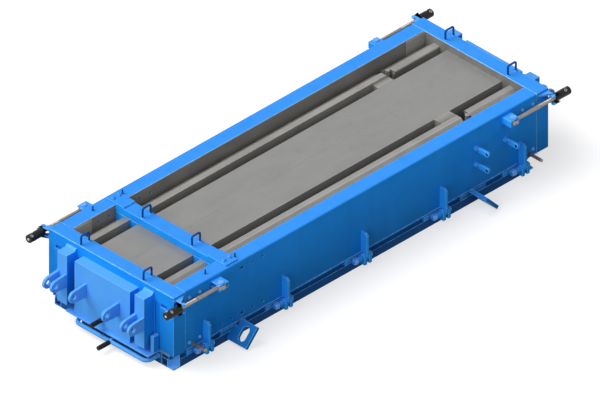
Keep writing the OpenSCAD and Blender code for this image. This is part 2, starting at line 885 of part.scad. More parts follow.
module clamping_holes(y0, y1) {
    r = row_hole_d / 2;
    for (z = [row_high, row_low], i = [0:len(row_x) - 1])
        if (i == row_slot_index) {
            for (e = [-1, 1]) rod_y(y0, y1, row_x[i] + e * (row_slot_l / 2 - r), z, r);
            block(row_x[i] - row_slot_l / 2 + r, row_x[i] + row_slot_l / 2 - r, y0, y1, z - r, z + r);
        } else rod_y(y0, y1, row_x[i], z, r);
}

liner_bolt_x = [-half_l + liner_bolt_a, -half_l + liner_bolt_b, half_l - liner_bolt_b,
    half_l - liner_bolt_a];

module liner_bolt_holes(y0, y1) {
    for (z = [row_high, row_low], x = liner_bolt_x)
        rod_y(y0, y1, x, z, liner_bolt_d / 2 + seat);
}

module screw_holes(y0, y1) {
    for (z = [screw_high_z, screw_low_z]) rod_y(y0, y1, screw_block_x, z, screw_r + run_c);
    rod_y(y0, y1, screw_far_x, screw_far_z, screw_r + run_c);
}

module side_shell(side) {
    color(paint) side_of(side) difference() {
        along_x(-side_half, side_half) side_section();
        side_voids();
        clamping_holes(wall_in - eps, half_w + eps);
        liner_bolt_holes(wall_in - eps, half_w + eps);
        if (side == right) {
            screw_holes(wall_in - eps, half_w + eps);
            for (x = [-half_l + lock_back, half_l - lock_back])
                rod_y(half_w - plate_t - eps, half_w + eps, x, lock_z, lock_r + run_c);
        }
    }
}

module former_2d() {
    polygon([[former_face, side_bottom], [former_face, former_top],
        [former_face + former_flat, former_top], [wall_in, former_wall_z], [wall_in, side_bottom]]);
}

module former_void_2d() {
    t = plate_t;
    polygon([[former_face + t, side_bottom + t], [former_face + t, former_top - t],
        [former_face + former_flat - t * tan(slope_angle / 2), former_top - t],
        [wall_in - t, former_wall_z + t * tan(slope_angle) - t / cos(slope_angle)],
        [wall_in - t, side_bottom + t]]);
}

module former(x0, x1) {
    difference() {
        along_x(x0, x1) former_2d();
        along_x(x0 + plate_t, x1 - plate_t) former_void_2d();
        clamping_holes(wall_in - plate_t - eps, wall_in + eps);
        liner_bolt_holes(wall_in - plate_t - eps, wall_in + eps);
    }
}

module former_near(side) {
    color(bare) side_of(side) former(-side_half, divider_x - divider_w / 2 - divider_gap);
}

module former_main(side) {
    color(bare) side_of(side) difference() {
        union() {
            former(divider_x + divider_w / 2 + divider_gap, former_split_x);
            block(former_split_x - block_l, former_split_x, core_half + block_gap, former_face,
                side_bottom, core_top);
        }
        if (side == right) screw_holes(wall_in - plate_t - eps, wall_in + eps);
    }
}

module former_far(side) {
    x0 = former_split_x + former_gap;
    bead_in = 4;
    bead_wall = 5;
    bore_l = 60;
    bead_y = former_face + bead_in;
    bead_z = former_top - bead_r;
    color(bare) side_of(side) {
        difference() {
            union() {
                former(x0, side_half);
                rod_x(x0, side_half, bead_y, bead_z, bead_r);
            }
            rod_x(x0 - eps, x0 + bore_l, bead_y, bead_z, bead_r - bead_wall);
            if (side == right) screw_holes(wall_in - plate_t - eps, wall_in + eps);
        }
        rod_z(side_bottom, former_top - bead_in, x0 - post_r - seat, former_face + former_flat, post_r);
    }
}

module end_liners(side) {
    low = former_wall_z + liner_t * tan(slope_angle) + seat;
    high = frame_h - 8;
    color(bare) side_of(side) for (end = [near, far]) end_of(end) difference() {
        block(side_half - liner_l, side_half, wall_in - liner_t, wall_in, low, high);
        for (x = [half_l - liner_bolt_a, half_l - liner_bolt_b])
            rod_y(wall_in - liner_t - eps, wall_in + eps, x, row_high, liner_bolt_d / 2 + seat);
    }
}

module liner_bolts(side) {
    head_r = 11;
    head_h = 8;
    color(zinc) side_of(side) for (z = [row_high, row_low], x = liner_bolt_x) {
        inner = z == row_high ? liner_t : plate_t + 12;
        rod_y(wall_in - inner, half_w + head_h, x, z, liner_bolt_d / 2);
        hex_head(half_w, half_w + head_h, x, z, head_r);
    }
}

// Two ears with a pin hole, and the web that joins them behind the bolt's eye
module clevises(side) {
    web_face = bolt_x - eye_r - clevis_gap;
    ear_end = bolt_x + eye_r - 1;
    ear_gap = bolt_r + seat;
    color(paint_light) side_of(side) for (end = [near, far]) end_of(end) difference() {
        union() {
            block(web_face - clevis_t, web_face, half_w, bolt_y + clevis_out,
                bolt_z - ear_gap - clevis_t, bolt_z + ear_gap + clevis_t);
            for (z = [bolt_z - ear_gap - clevis_t, bolt_z + ear_gap])
                block(web_face - 1, ear_end, half_w, bolt_y + clevis_out, z, z + clevis_t);
        }
        rod_z(bolt_z - ear_gap - clevis_t - 1, bolt_z + ear_gap + clevis_t + 1, bolt_x, bolt_y,
            pivot_r + run_c);
    }
}

module clevis_pins(side) {
    ear_out = bolt_r + seat + clevis_t;
    color(zinc) side_of(side) for (end = [near, far]) end_of(end) {
        rod_z(bolt_z - ear_out - 12, bolt_z + ear_out, bolt_x, bolt_y, pivot_r);
        rod_z(bolt_z + ear_out, bolt_z + ear_out + 10, bolt_x, bolt_y, pivot_r + 10);
        rod_z(bolt_z - ear_out - 5, bolt_z - ear_out, bolt_x, bolt_y, pivot_r + 5);
    }
}

module flange_pins(side) {
    pin_r = 5.5;
    pin_h = 36;
    pin_y = half_w - wall_t / 2;
    pin_back = 214;
    pin_ahead = 14;
    color(zinc) side_of(side) for (x = [divider_x - pin_back, divider_x + divider_w / 2 + pin_ahead]) {
        rod_z(frame_h, frame_h + pin_h, x, pin_y, pin_r);
        rod_z(frame_h, frame_h + 4, x, pin_y, pin_r + 4);
    }
}

// Swing bolts and nuts

module swing_bolt(side, end) {
    color(bare) side_of(side) end_of(end) difference() {
        union() {
            rod_z(bolt_z - bolt_r, bolt_z + bolt_r, bolt_x, bolt_y, eye_r);
            rod_x(bolt_x + eye_r - 8, nut_x + nut_grip - 2, bolt_y, bolt_z, bolt_r);
        }
        rod_z(bolt_z - bolt_r - 1, bolt_z + bolt_r + 1, bolt_x, bolt_y, pivot_r + run_c);
    }
}

module sleeve_nut(side, end) {
    chamfer = 3;
    color(black) side_of(side) end_of(end) difference() {
        union() {
            rod_x(nut_x + chamfer, nut_x + nut_l - chamfer, bolt_y, bolt_z, nut_r);
            translate([nut_x, bolt_y, bolt_z]) rotate([0, 90, 0])
                cylinder(h = chamfer, r1 = nut_r - chamfer, r2 = nut_r, $fn = round_fn);
            translate([nut_x + nut_l - chamfer, bolt_y, bolt_z]) rotate([0, 90, 0])
                cylinder(h = chamfer, r1 = nut_r, r2 = nut_r - chamfer, $fn = round_fn);
        }
        rod_x(nut_x - eps, nut_x + nut_grip, bolt_y, bolt_z, bolt_r + run_c);
        for (i = [0, 1])
            translate([nut_x + nut_l - nut_hole_end - i * nut_hole_pitch, bolt_y, bolt_z]) rotate([30 - i * 60, 0, 0])
                translate([0, 0, -nut_r - 1]) cylinder(h = 2 * nut_r + 2, r = bar_hole_d / 2, $fn = round_fn);
    }
}

// Divider

module divider_beam() {
    x0 = divider_x - divider_w / 2;
    x1 = divider_x + divider_w / 2;
    bolt_at = wall_in + tab_out / 2;
    color(paint) {
        hollow_block(x0, x1, -leg_out, leg_out, core_top + 1, beam_top, plate_t);
        for (side = [left, right]) side_of(side) {
            block(x0, x1, wall_in - tab_in, tab_end, beam_top, beam_top + tab_t);
            for (x = [x0 + 28, x1 - 28]) {
                translate([x, bolt_at, beam_top + tab_t]) cylinder(h = 12, r = 15, $fn = 6);
                rod_z(beam_top + tab_t, beam_top + tab_t + 20, x, bolt_at, 8);
            }
        }
    }
}

module divider_legs() {
    color(paint) for (side = [left, right]) side_of(side)
        hollow_block(divider_x - divider_w / 2, divider_x + divider_w / 2, leg_in, leg_out,
            leg_low, core_top + 1, plate_t);
}

module divider_bows() {
    color(paint_dark) for (side = [left, right]) side_of(side)
        translate([divider_x - bow_w / 2, divider_bow_y, beam_top]) bow(bow_w, bow_h, bow_r, bow_bend);
}

// Screws and pins on the right side

module clamp_screw(x, z, reach) {
    nut_h = 24;
    neck_l = 14;
    nut_end = half_w + nut_h;
    stem_start = nut_end + neck_l;
    stem_mid = nut_end + stem_l - stem_h / 2;
    side_of(right) {
        rod_y(wall_in - reach, nut_end, x, z, screw_r);
        hex_head(half_w + seat, nut_end, x, z, screw_r + 8);
        rod_y(nut_end - 1, stem_start + 1, x, z, screw_r - 3);
        difference() {
            union() {
                block(x - stem_t / 2, x + stem_t / 2, stem_start, stem_mid,
                    z - stem_h / 2, z + stem_h / 2);
                rod_x(x - stem_t / 2, x + stem_t / 2, stem_mid, z, stem_h / 2);
            }
            rod_x(x - stem_t, x + stem_t, stem_mid, z, stem_hole_r);
        }
    }
}

module clamp_screw_high() {
    color(paint_light) clamp_screw(screw_block_x, screw_high_z, plate_t + 10);
}

module clamp_screw_low() {
    color(paint_light) clamp_screw(screw_block_x, screw_low_z, plate_t + 10);
}

module clamp_screw_far() {
    color(paint_light) clamp_screw(screw_far_x, screw_far_z, plate_t + 10);
}

module locking_pin(end) {
    color(black) side_of(right) end_of(end)
        rod_y(half_w - lock_in, half_w + lock_out, half_l - lock_back, lock_z, lock_r);
}

pallet_rails();
pallet_crossmembers();
deck_plate();
near_ledge();
stacking_feet();
lifting_lugs();
hinge_consoles();
hinge_pins();
core_skin(left);  // core_skin_left
core_skin(right);  // core_skin_right
core_ribs();
end_frame(near);  // end_frame_near
end_frame(far);  // end_frame_far
end_boxes();
end_columns();
end_lugs(near);  // end_lugs_near
end_lugs(far);  // end_lugs_far
end_bows();
fork_plates();
stop_bracket();
pull_bar();
pull_bar_grip();
latch_pin();
side_shell(left);  // side_shell_left
former_near(left);  // former_near_left
former_main(left);  // former_main_left
former_far(left);  // former_far_left
end_liners(left);  // end_liners_left
liner_bolts(left);  // liner_bolts_left
hinge_leaves(left);  // hinge_leaves_left
clevises(left);  // clevises_left
clevis_pins(left);  // clevis_pins_left
flange_pins(left);  // flange_pins_left
side_shell(right);  // side_shell_right
former_near(right);  // former_near_right
former_main(right);  // former_main_right
former_far(right);  // former_far_right
end_liners(right);  // end_liners_right
liner_bolts(right);  // liner_bolts_right
hinge_leaves(right);  // hinge_leaves_right
clevises(right);  // clevises_right
clevis_pins(right);  // clevis_pins_right
flange_pins(right);  // flange_pins_right
swing_bolt(left, near);  // swing_bolt_near_left
swing_bolt(right, near);  // swing_bolt_near_right
swing_bolt(left, far);  // swing_bolt_far_left
swing_bolt(right, far);  // swing_bolt_far_right
sleeve_nut(left, near);  // sleeve_nut_near_left
sleeve_nut(right, near);  // sleeve_nut_near_right
sleeve_nut(left, far);  // sleeve_nut_far_left
sleeve_nut(right, far);  // sleeve_nut_far_right
divider_beam();
divider_legs();
divider_bows();
clamp_screw_high();
clamp_screw_low();
clamp_screw_far();
locking_pin(near);  // locking_pin_near
locking_pin(far);  // locking_pin_far
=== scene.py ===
import bpy
import bmesh
import json
import math
from mathutils import Matrix, Vector

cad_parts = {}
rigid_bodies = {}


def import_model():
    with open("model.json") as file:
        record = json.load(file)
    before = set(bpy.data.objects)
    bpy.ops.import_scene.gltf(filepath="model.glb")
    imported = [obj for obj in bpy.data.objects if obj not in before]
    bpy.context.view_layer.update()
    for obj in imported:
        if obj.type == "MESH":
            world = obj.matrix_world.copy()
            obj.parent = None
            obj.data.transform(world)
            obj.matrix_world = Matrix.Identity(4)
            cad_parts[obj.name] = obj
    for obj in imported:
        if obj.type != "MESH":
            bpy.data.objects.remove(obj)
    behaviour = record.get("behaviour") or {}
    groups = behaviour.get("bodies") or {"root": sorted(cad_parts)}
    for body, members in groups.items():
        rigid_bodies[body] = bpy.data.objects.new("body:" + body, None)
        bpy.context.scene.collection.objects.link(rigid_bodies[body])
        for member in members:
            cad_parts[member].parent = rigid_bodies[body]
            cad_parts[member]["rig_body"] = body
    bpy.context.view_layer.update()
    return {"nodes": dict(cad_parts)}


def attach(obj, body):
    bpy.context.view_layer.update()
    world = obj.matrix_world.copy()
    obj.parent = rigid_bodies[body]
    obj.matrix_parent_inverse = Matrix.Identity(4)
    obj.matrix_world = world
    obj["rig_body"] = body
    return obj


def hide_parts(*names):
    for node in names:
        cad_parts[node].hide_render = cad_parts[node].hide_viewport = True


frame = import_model()
nodes = frame["nodes"]

# Sizes in metres, the same as in the mould's source. Each side and end has the sign of its place.
SIDES = {"left": 1, "right": -1}
ENDS = {"near": -1, "far": 1}
X_AXIS = (1, 0, 0)
Z_AXIS = (0, 0, 1)

# Frame and walls, and the gap between pieces that rest against each other
HALF_L = 1.8
HALF_W = 0.6
TOP = 0.595
DECK_TOP = 0.108
RAIL_H = 0.066
RECESS = 0.04
WALL_IN = 0.48
END_IN = 1.688
END_BEAM = 0.1
RAIL_SEAM = (-1.73, 1.64)
SEAT = 0.0003

# Hinges: pin, moving leaf, fixed lugs, and the sleeve, washer and nut on the pin
HINGE_X = [(i - 2) * 0.758 for i in range(5)]
HINGE_Y = 0.632
HINGE_Z = 0.09
HINGE_PIN_R = 0.014
LEAF_T = 0.02
LEAF_TOP = 0.28
LEAF_LOW = 0.117
HINGE_LUG_T = 0.025
HINGE_SEAM_LOW = 0.045
SLEEVE_L = 0.052
WASHER_T = 0.007
HINGE_NUT_H = 0.02

# Swing bolts, their clevises, sleeve nuts and forks; EAR and the fork faces are measured from the bolt
BOLT_X = 1.405
BOLT_Y = 0.66
BOLT_Z = 0.54
BOLT_R = 0.015
EYE_R = 0.036
PIVOT_R = 0.01205
CLEVIS_T = 0.0105
CLEVIS_GAP = 0.003
EAR = BOLT_R + SEAT + CLEVIS_T
EAR_PAST = 0.034
NUT_X = 1.7968
NUT_L = 0.139
NUT_R = 0.03
FORK_IN = 0.0245
FORK_OUT = 0.0365
FORK_ROOT = (1.7, 1.793)

# Liner bolts in two rows, how far each row reaches in past the wall, and the clamp screws' stem holes
LINER_BOLT_X = (-1.65, -1.55, 1.55, 1.65)
ROW_HIGH = 0.533
ROW_LOW = 0.162
REACH_HIGH = 0.006
REACH_LOW = 0.02
SCREW_HOLES = ((1.0995, 0.438), (1.0995, 0.306), (1.38, 0.373))
SCREW_HOLE_Y = 0.717

# Divider, and the studs that place it
DIVIDER_X = -1.222
DIVIDER_W = 0.114
DIVIDER_TOP = TOP + SEAT
TAB_IN = 0.077
STUD_X = (DIVIDER_X - 0.214, DIVIDER_X + DIVIDER_W / 2 + 0.014)
STUD_Y = HALF_W - 0.06

# Columns, boxes, their lug plates, and the bent-bar bows
COLUMN_Y = 0.371
COLUMN_W = 0.092
COLUMN_OUT = 0.101
COLUMN_FOOT = 0.141
COLUMN_DROP = 0.05
BOX_HALF = 0.266
BOX_OUT = 0.087
BOX_LUG_Y = 0.158
EYE_Z = 0.342
LUG_ROOT = 0.11
LUG_PITCH = 0.071
END_LUG_T = 0.02
BOW_R = 0.0075
BOW_W = 0.077
END_BOW_X = 1.75
END_BOW_Y = 0.3
DIVIDER_BOW_Y = 0.237

# Grips, pull bar, latch and ledge
GRIP_R = 0.017
GRIP_L = 0.11
BAR_OUT = 0.11
BAR_R = 0.015
BAR_Z = 0.057
BAR_FEET = (0.238, -0.452)
BAR_BRACKET_Y = -0.105
LATCH_Z = 0.175
LEDGE_LOW = 0.096


# Materials

class Finish:
    """A node material with one shader and the object's own coordinates."""

    def __init__(self, name, roughness, metallic=0.0, specular=0.5):
        self.material = bpy.data.materials.new(name)
        self.material.use_nodes = True
        self.tree = self.material.node_tree
        self.tree.nodes.clear()
        self.shader = self.add("ShaderNodeBsdfPrincipled")
        self.shader.inputs["Roughness"].default_value = roughness
        self.shader.inputs["Metallic"].default_value = metallic
        self.shader.inputs["Specular IOR Level"].default_value = specular
        output = self.add("ShaderNodeOutputMaterial")
        self.join(self.shader.outputs[0], output.inputs["Surface"])
        self.place = self.add("ShaderNodeTexCoord").outputs["Object"]

    def add(self, kind, **values):
        node = self.tree.nodes.new(kind)
        for key, value in values.items():
            setattr(node, key, value)
        return node

    def join(self, out, into):
        self.tree.links.new(out, into)

    def noise(self, scale, detail=3.0, stretch=(1, 1, 1), distortion=0.0):
        mapping = self.add("ShaderNodeMapping")
        mapping.inputs["Scale"].default_value = stretch
        self.join(self.place, mapping.inputs["Vector"])
        noise = self.add("ShaderNodeTexNoise")
        noise.inputs["Scale"].default_value = scale
        noise.inputs["Detail"].default_value = detail
        noise.inputs["Distortion"].default_value = distortion
        self.join(mapping.outputs[0], noise.inputs["Vector"])
        return noise.outputs["Fac"]

    def height(self):
        """Height above the floor, for painted shade that darkens the paint towards the floor."""
        split = self.add("ShaderNodeSeparateXYZ")
        self.join(self.place, split.inputs[0])
        return split.outputs["Z"]

    def upward(self):
        """How far a face looks up, for the painted sheen on level faces."""
        split = self.add("ShaderNodeSeparateXYZ")
        self.join(self.add("ShaderNodeNewGeometry").outputs["Normal"], split.inputs[0])
        return self.ramp(split.outputs["Z"], 0.4, 0.95)

    def ramp(self, value, low, high, start=0.0, end=1.0):
        node = self.add("ShaderNodeMapRange")
        node.inputs["From Min"].default_value = low
        node.inputs["From Max"].default_value = high
        node.inputs["To Min"].default_value = start
        node.inputs["To Max"].default_value = end
        self.join(value, node.inputs["Value"])
        return node.outputs[0]

    def times(self, a, b):
        node = self.add("ShaderNodeMath", operation="MULTIPLY")
        self.join(a, node.inputs[0])
        self.join(b, node.inputs[1])
        return node.outputs[0]

    def mix(self, share, a, b):
        node = self.add("ShaderNodeMix", data_type="RGBA")
        self.join(share, node.inputs["Factor"])
        for colour, socket in ((a, node.inputs["A"]), (b, node.inputs["B"])):
            if isinstance(colour, tuple):
                socket.default_value = (*colour, 1)
            else:
                self.join(colour, socket)
        return node.outputs["Result"]

    def attribute(self, name):
        return self.add("ShaderNodeAttribute", attribute_name=name).outputs["Fac"]

    def bump(self, *layers):
        """Each layer is a height and its strength and depth in metres."""
        last = None
        for height, strength, depth in layers:
            node = self.add("ShaderNodeBump")
            node.inputs["Strength"].default_value = strength
            node.inputs["Distance"].default_value = depth
            self.join(height, node.inputs["Height"])
            if last is not None:
                self.join(last, node.inputs["Normal"])
            last = node.outputs[0]
        self.join(last, self.shader.inputs["Normal"])

    def colour(self, socket):
        self.join(socket, self.shader.inputs["Base Color"])

    def rough(self, socket):
        self.join(socket, self.shader.inputs["Roughness"])


def blue_paint(name, deep, light, top_sheen, low_shade=0.2):
    """Sprayed blue enamel: faint clouds, orange peel, runs, chips, painted highlights on the edges, a
    painted sheen on level faces and painted shade towards the floor.
    """
    edge_highlight = (0.24, 0.58, 1)
    primer = (0.16, 0.17, 0.18)
    f = Finish(name, 0.4, specular=0.05)
    clouds = f.ramp(f.noise(2.3, 4), 0.35, 0.65)
    base = f.mix(clouds, deep, light)
    # painted sheen: faces that look up lean towards a paler blue, as if lit from above
    level = f.times(f.upward(), f.ramp(f.noise(4, 3), 0.2, 0.6, 0.8, 1))
    base = f.mix(level, base, top_sheen)
    runs = f.ramp(f.noise(9, 5, (1, 1, 0.16), 0.4), 0.52, 0.8, 0, 0.3)
    base = f.mix(runs, base, tuple(c * 0.72 for c in deep))
    # painted shade: the paint darkens towards the floor
    low = f.times(f.ramp(f.height(), 0.02, 0.52, low_shade, 0), f.ramp(f.noise(5, 5), 0.3, 0.6, 0.7, 1))
    base = f.mix(low, base, tuple(c * 0.4 for c in deep))
    # painted highlight: the eased edges lean towards a paler blue that stands in for the light they catch
    edge_highlight_share = f.times(f.attribute("edge"), f.ramp(f.noise(46, 6), 0.42, 0.62, 0.45, 0.9))
    base = f.mix(edge_highlight_share, base, edge_highlight)
    chips = f.times(f.attribute("edge"), f.ramp(f.noise(90, 4), 0.64, 0.67))
    f.colour(f.mix(chips, base, primer))
    f.rough(f.ramp(f.noise(28, 4), 0.3, 0.7, 0.33, 0.47))
    f.bump((f.noise(420, 2), 0.1, 0.0004), (f.noise(7, 2), 0.12, 0.0015))
    return f.material


def plate_steel(name, dark, light, stain, metallic, stretch):
    """Ground and oiled plate: rolling lines, mill patches, brown spots and bare edges."""
    bare = (0.5, 0.5, 0.49)
    f = Finish(name, 0.45, metallic, 0.4)
    patches = f.ramp(f.noise(3.1, 5, (1, 2.2, 2.2), 0.6), 0.36, 0.64)
    base = f.mix(patches, dark, light)
    lines = f.noise(26, 3, stretch)
    base = f.mix(f.ramp(lines, 0.35, 0.75, 0, 0.35), base, tuple(c * 1.25 for c in light))
    spots = f.ramp(f.noise(13, 6, (1, 1, 1), 0.8), 0.58, 0.74, 0, 0.28)
    base = f.mix(spots, base, stain)
    f.colour(f.mix(f.ramp(f.attribute("edge"), 0, 1, 0, 0.5), base, bare))
    f.rough(f.ramp(f.noise(34, 4, stretch), 0.25, 0.75, 0.34, 0.58))
    f.bump((lines, 0.12, 0.0004), (f.noise(160, 3), 0.14, 0.0003))
    return f.material


def turned_steel(name, dark, light, metallic, rough, specular=0.45):
    """Turned or drawn round bar with fine rings, oil and small dark marks."""
    f = Finish(name, rough, metallic, specular)
    rings = f.noise(12, 2, (90, 1, 1))
    base = f.mix(f.ramp(rings, 0.3, 0.7), dark, light)
    marks = f.ramp(f.noise(38, 5), 0.58, 0.7, 0, 0.7)
    base = f.mix(marks, base, tuple(c * 0.45 for c in dark))
    bare = tuple(min(1, c * 1.6) for c in light)
    f.colour(f.mix(f.ramp(f.attribute("edge"), 0, 1, 0, 0.6), base, bare))
    f.rough(f.ramp(f.noise(40, 3), 0.3, 0.7, rough - 0.06, rough + 0.12))
    f.bump((rings, 0.1, 0.0002))
    return f.material


def grip_rubber():
    """Moulded black rubber with a fine grain and a faint grey haze."""
    f = Finish("grip_rubber", 0.6, specular=0.2)
    base = f.mix(f.ramp(f.noise(30, 4), 0.4, 0.7), (0.006, 0.006, 0.006), (0.018, 0.018, 0.018))
    f.colour(base)
    f.rough(f.ramp(f.noise(60, 3), 0.3, 0.7, 0.5, 0.72))
    f.bump((f.noise(700, 2), 0.25, 0.0003))
    return f.material


BLUE = blue_paint("blue_enamel", (0.009, 0.28, 0.9), (0.014, 0.32, 0.98), (0.046, 0.31, 0.93), 0.8)
# A darker copy of the blue enamel, as painted shade on the rails, crossmembers and the bar under the ledge
BLUE_SHADED = blue_paint("blue_enamel_painted_shade", (0.006, 0.085, 0.3), (0.008, 0.1, 0.35), (0.01, 0.11, 0.38))
# A paler copy of the blue enamel, as painted light on the fittings that it covers
BLUE_BRIGHT = blue_paint("blue_enamel_pale_painted_light", (0.085, 0.38, 0.95), (0.115, 0.42, 1.0), (0.1, 0.4, 0.97))
# A lighter copy of the blue enamel, as painted light on the hinges, clevises, screws, pins and welds
BLUE_LIT = blue_paint("blue_enamel_painted_light", (0.018, 0.34, 1.0), (0.028, 0.38, 1.0), (0.06, 0.36, 1.0))
BLUE_DEEP = blue_paint("blue_enamel_bows", (0.003, 0.07, 0.28), (0.005, 0.09, 0.36), (0.008, 0.11, 0.42))
PLATE = plate_steel("core_plate", (0.235, 0.235, 0.233), (0.26, 0.26, 0.256), (0.2, 0.185, 0.165),
                    0.35, (1, 22, 22))
FORMER = plate_steel("former_plate", (0.26, 0.252, 0.238), (0.32, 0.312, 0.295), (0.22, 0.19, 0.16),
                     0.35, (1, 16, 16))
WALL_STEEL = plate_steel("inner_wall_plate", (0.16, 0.158, 0.153), (0.21, 0.207, 0.2), (0.14, 0.11, 0.085),
                         0.2, (1, 14, 14))
LINER = plate_steel("end_liner_plate", (0.28, 0.265, 0.24), (0.35, 0.335, 0.31), (0.22, 0.17, 0.12),
                    0.25, (1, 14, 14))
ROD = turned_steel("turned_rod", (0.2, 0.175, 0.155), (0.4, 0.36, 0.32), 0.6, 0.3)
BLACK = turned_steel("black_steel_with_painted_hole_shade", (0.004, 0.004, 0.004), (0.014, 0.014, 0.014), 0.0, 0.42, 0.22)
HEADS = turned_steel("bolt_head_blue", (0.08, 0.32, 0.8), (0.2, 0.47, 0.98), 0.1, 0.34)
BRIGHT = turned_steel("bright_steel", (0.55, 0.55, 0.55), (0.75, 0.75, 0.75), 0.5, 0.3)
PIN = turned_steel("locking_pin_steel", (0.09, 0.065, 0.045), (0.5, 0.4, 0.3), 0.5, 0.26)
RUBBER = grip_rubber()


# Making and placing pieces

def finish_piece(obj, body, material, shade=50, inside=None):
    """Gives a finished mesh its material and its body."""
    obj.data.materials.append(material)
    if inside:
        obj.data.materials.append(inside)
    obj.data.shade_smooth()
    obj.data.set_sharp_from_angle(angle=math.radians(shade))
    weights = obj.modifiers.new("weights", "WEIGHTED_NORMAL")
    weights.keep_sharp = True
    apply_modifiers(obj)
    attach(obj, body)
    return obj


def apply_modifiers(obj):
    """Turns the evaluated object into a plain mesh."""
    view = bpy.context.evaluated_depsgraph_get()
    mesh = bpy.data.meshes.new_from_object(obj.evaluated_get(view))
    obj.modifiers.clear()
    old = obj.data
    obj.data = mesh
    bpy.data.meshes.remove(old)


def remove(obj):
    mesh = obj.data
    bpy.data.objects.remove(obj)
    bpy.data.meshes.remove(mesh)


def new_object(name, mesh):
    obj = bpy.data.objects.new(name, mesh)
    bpy.context.scene.collection.objects.link(obj)
    return obj


def object_from_bmesh(name, bm):
    mesh = bpy.data.meshes.new(name)
    bm.to_mesh(mesh)
    bm.free()
    return new_object(name, mesh)


def drop_hidden_shells(bm):
    """Removes the closed inner shells of hollow boxes, which nothing can show."""
    left = set(bm.faces)
    hidden = []
    while left:
        shell = [left.pop()]
        for face in shell:
            for edge in face.edges:
                for other in edge.link_faces:
                    if other in left:
                        left.discard(other)
                        shell.append(other)
        volume = 0.0
        for face in shell:
            a = face.verts[0].co
            for b, c in zip(face.verts[1:], face.verts[2:]):
                volume += a.dot(b.co.cross(c.co))
        if volume < 0:
            hidden += shell
    bmesh.ops.delete(bm, geom=hidden, context="FACES")


def against_concrete(centre, out):
    """The faces of a wall or an end panel that the concrete is cast against stay bare."""
    on_wall = abs(abs(centre.y) - WALL_IN) < 0.001 and out.y * centre.y < 0
    on_end = abs(abs(centre.x) - END_IN) < 0.0005 and out.x * centre.x < 0
    return on_wall or on_end


def shaded_flanks(centre, out):
    """The flanks of boxes and columns, which take the plain blue as painted shade beside their paler fronts.
    """
    return abs(out.y) > 0.7


def in_cross_hole(centre, out):
    """The walls of the small holes across a sleeve nut."""
    from_axis = math.hypot(abs(centre.y) - BOLT_Y, centre.z - BOLT_Z)
    return from_axis < NUT_R - 0.004 and 0.002 < abs(centre.x) - NUT_X < NUT_L - 0.002


def in_stem_hole(centre, out):
    """The wall of the hole through the stem of a clamp screw, lined with black as painted shade."""
    hole = min(SCREW_HOLES, key=lambda place: abs(place[0] - centre.x) + abs(place[1] - centre.z))
    return math.hypot(centre.y + SCREW_HOLE_Y, centre.z - hole[1]) < 0.0122 and abs(out.x) < 0.5


def ease_edges(bm, chosen, width, segments, mark):
    made = bmesh.ops.bevel(bm, geom=chosen, offset=width, offset_type="OFFSET", segments=segments,
                           profile=0.5, clamp_overlap=False, affect="EDGES")
    for face in made["faces"]:
        face[mark] = 1.0


def eased(node, width, material, inside=None, where=against_concrete, bend=0.0):
    """A copy of a CAD node with its sharp edges eased, in place of the node.

    The long straight edges of a folded plate get the wider bend, and the faces
    that the test picks get the inside material.
    """
    bm = bmesh.new()
    bm.from_mesh(nodes[node].data)
    bmesh.ops.remove_doubles(bm, verts=bm.verts, dist=2e-5)
    bmesh.ops.dissolve_limit(bm, angle_limit=math.radians(0.4), verts=bm.verts, edges=bm.edges)
    drop_hidden_shells(bm)
    mark = bm.faces.layers.float.new("edge")
    sharp = math.radians(28)

    def sharp_edges():
        convex = [e for e in bm.edges if e.is_manifold and e.is_convex]
        return [e for e in convex if e.calc_face_angle(0) > sharp]

    if bend:
        long = [e for e in sharp_edges() if e.calc_length() > 0.9 and abs(e.verts[0].co.y) > 0.01]
        ease_edges(bm, long, bend, 4, mark)
    ease_edges(bm, sharp_edges(), width, 2, mark)
    if inside:
        for face in bm.faces:
            face.material_index = int(where(face.calc_center_median(), face.normal))
    obj = object_from_bmesh(node + "_eased", bm)
    finish_piece(obj, nodes[node]["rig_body"], material, inside=inside)
    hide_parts(node)


def ring_of(bm, around, point):
    """A ring of new points, each given by its angle."""
    return [bm.verts.new(point(2 * math.pi * k / around)) for k in range(around)]


def join_rings(bm, rings):
    """Faces from each ring to the next one."""
    for low, high in zip(rings, rings[1:]):
        for k in range(len(low)):
            n = (k + 1) % len(low)
            bm.faces.new((low[k], low[n], high[n], high[k]))


def lathe(name, profile, centre, axis, around=32, close=True):
    """Turns a profile of (distance along the axis, radius) round the axis and closes both ends."""
    bm = bmesh.new()
    rings = [ring_of(bm, around, lambda a: (along, radius * math.cos(a), radius * math.sin(a)))
             for along, radius in profile]
    join_rings(bm, rings)
    if close:
        bm.faces.new(rings[0])
        bm.faces.new(rings[-1][::-1])
    turn = Vector(X_AXIS).rotation_difference(Vector(axis)).to_matrix().to_4x4()
    bmesh.ops.transform(bm, matrix=Matrix.Translation(centre) @ turn, verts=bm.verts)
    bmesh.ops.recalc_face_normals(bm, faces=bm.faces)
    return object_from_bmesh(name, bm)


def join_pieces(name, objects):
    """Joins finished meshes of one body into one piece."""
    bm = bmesh.new()
    for obj in objects:
        bm.from_mesh(obj.data)
        remove(obj)
    return object_from_bmesh(name, bm)


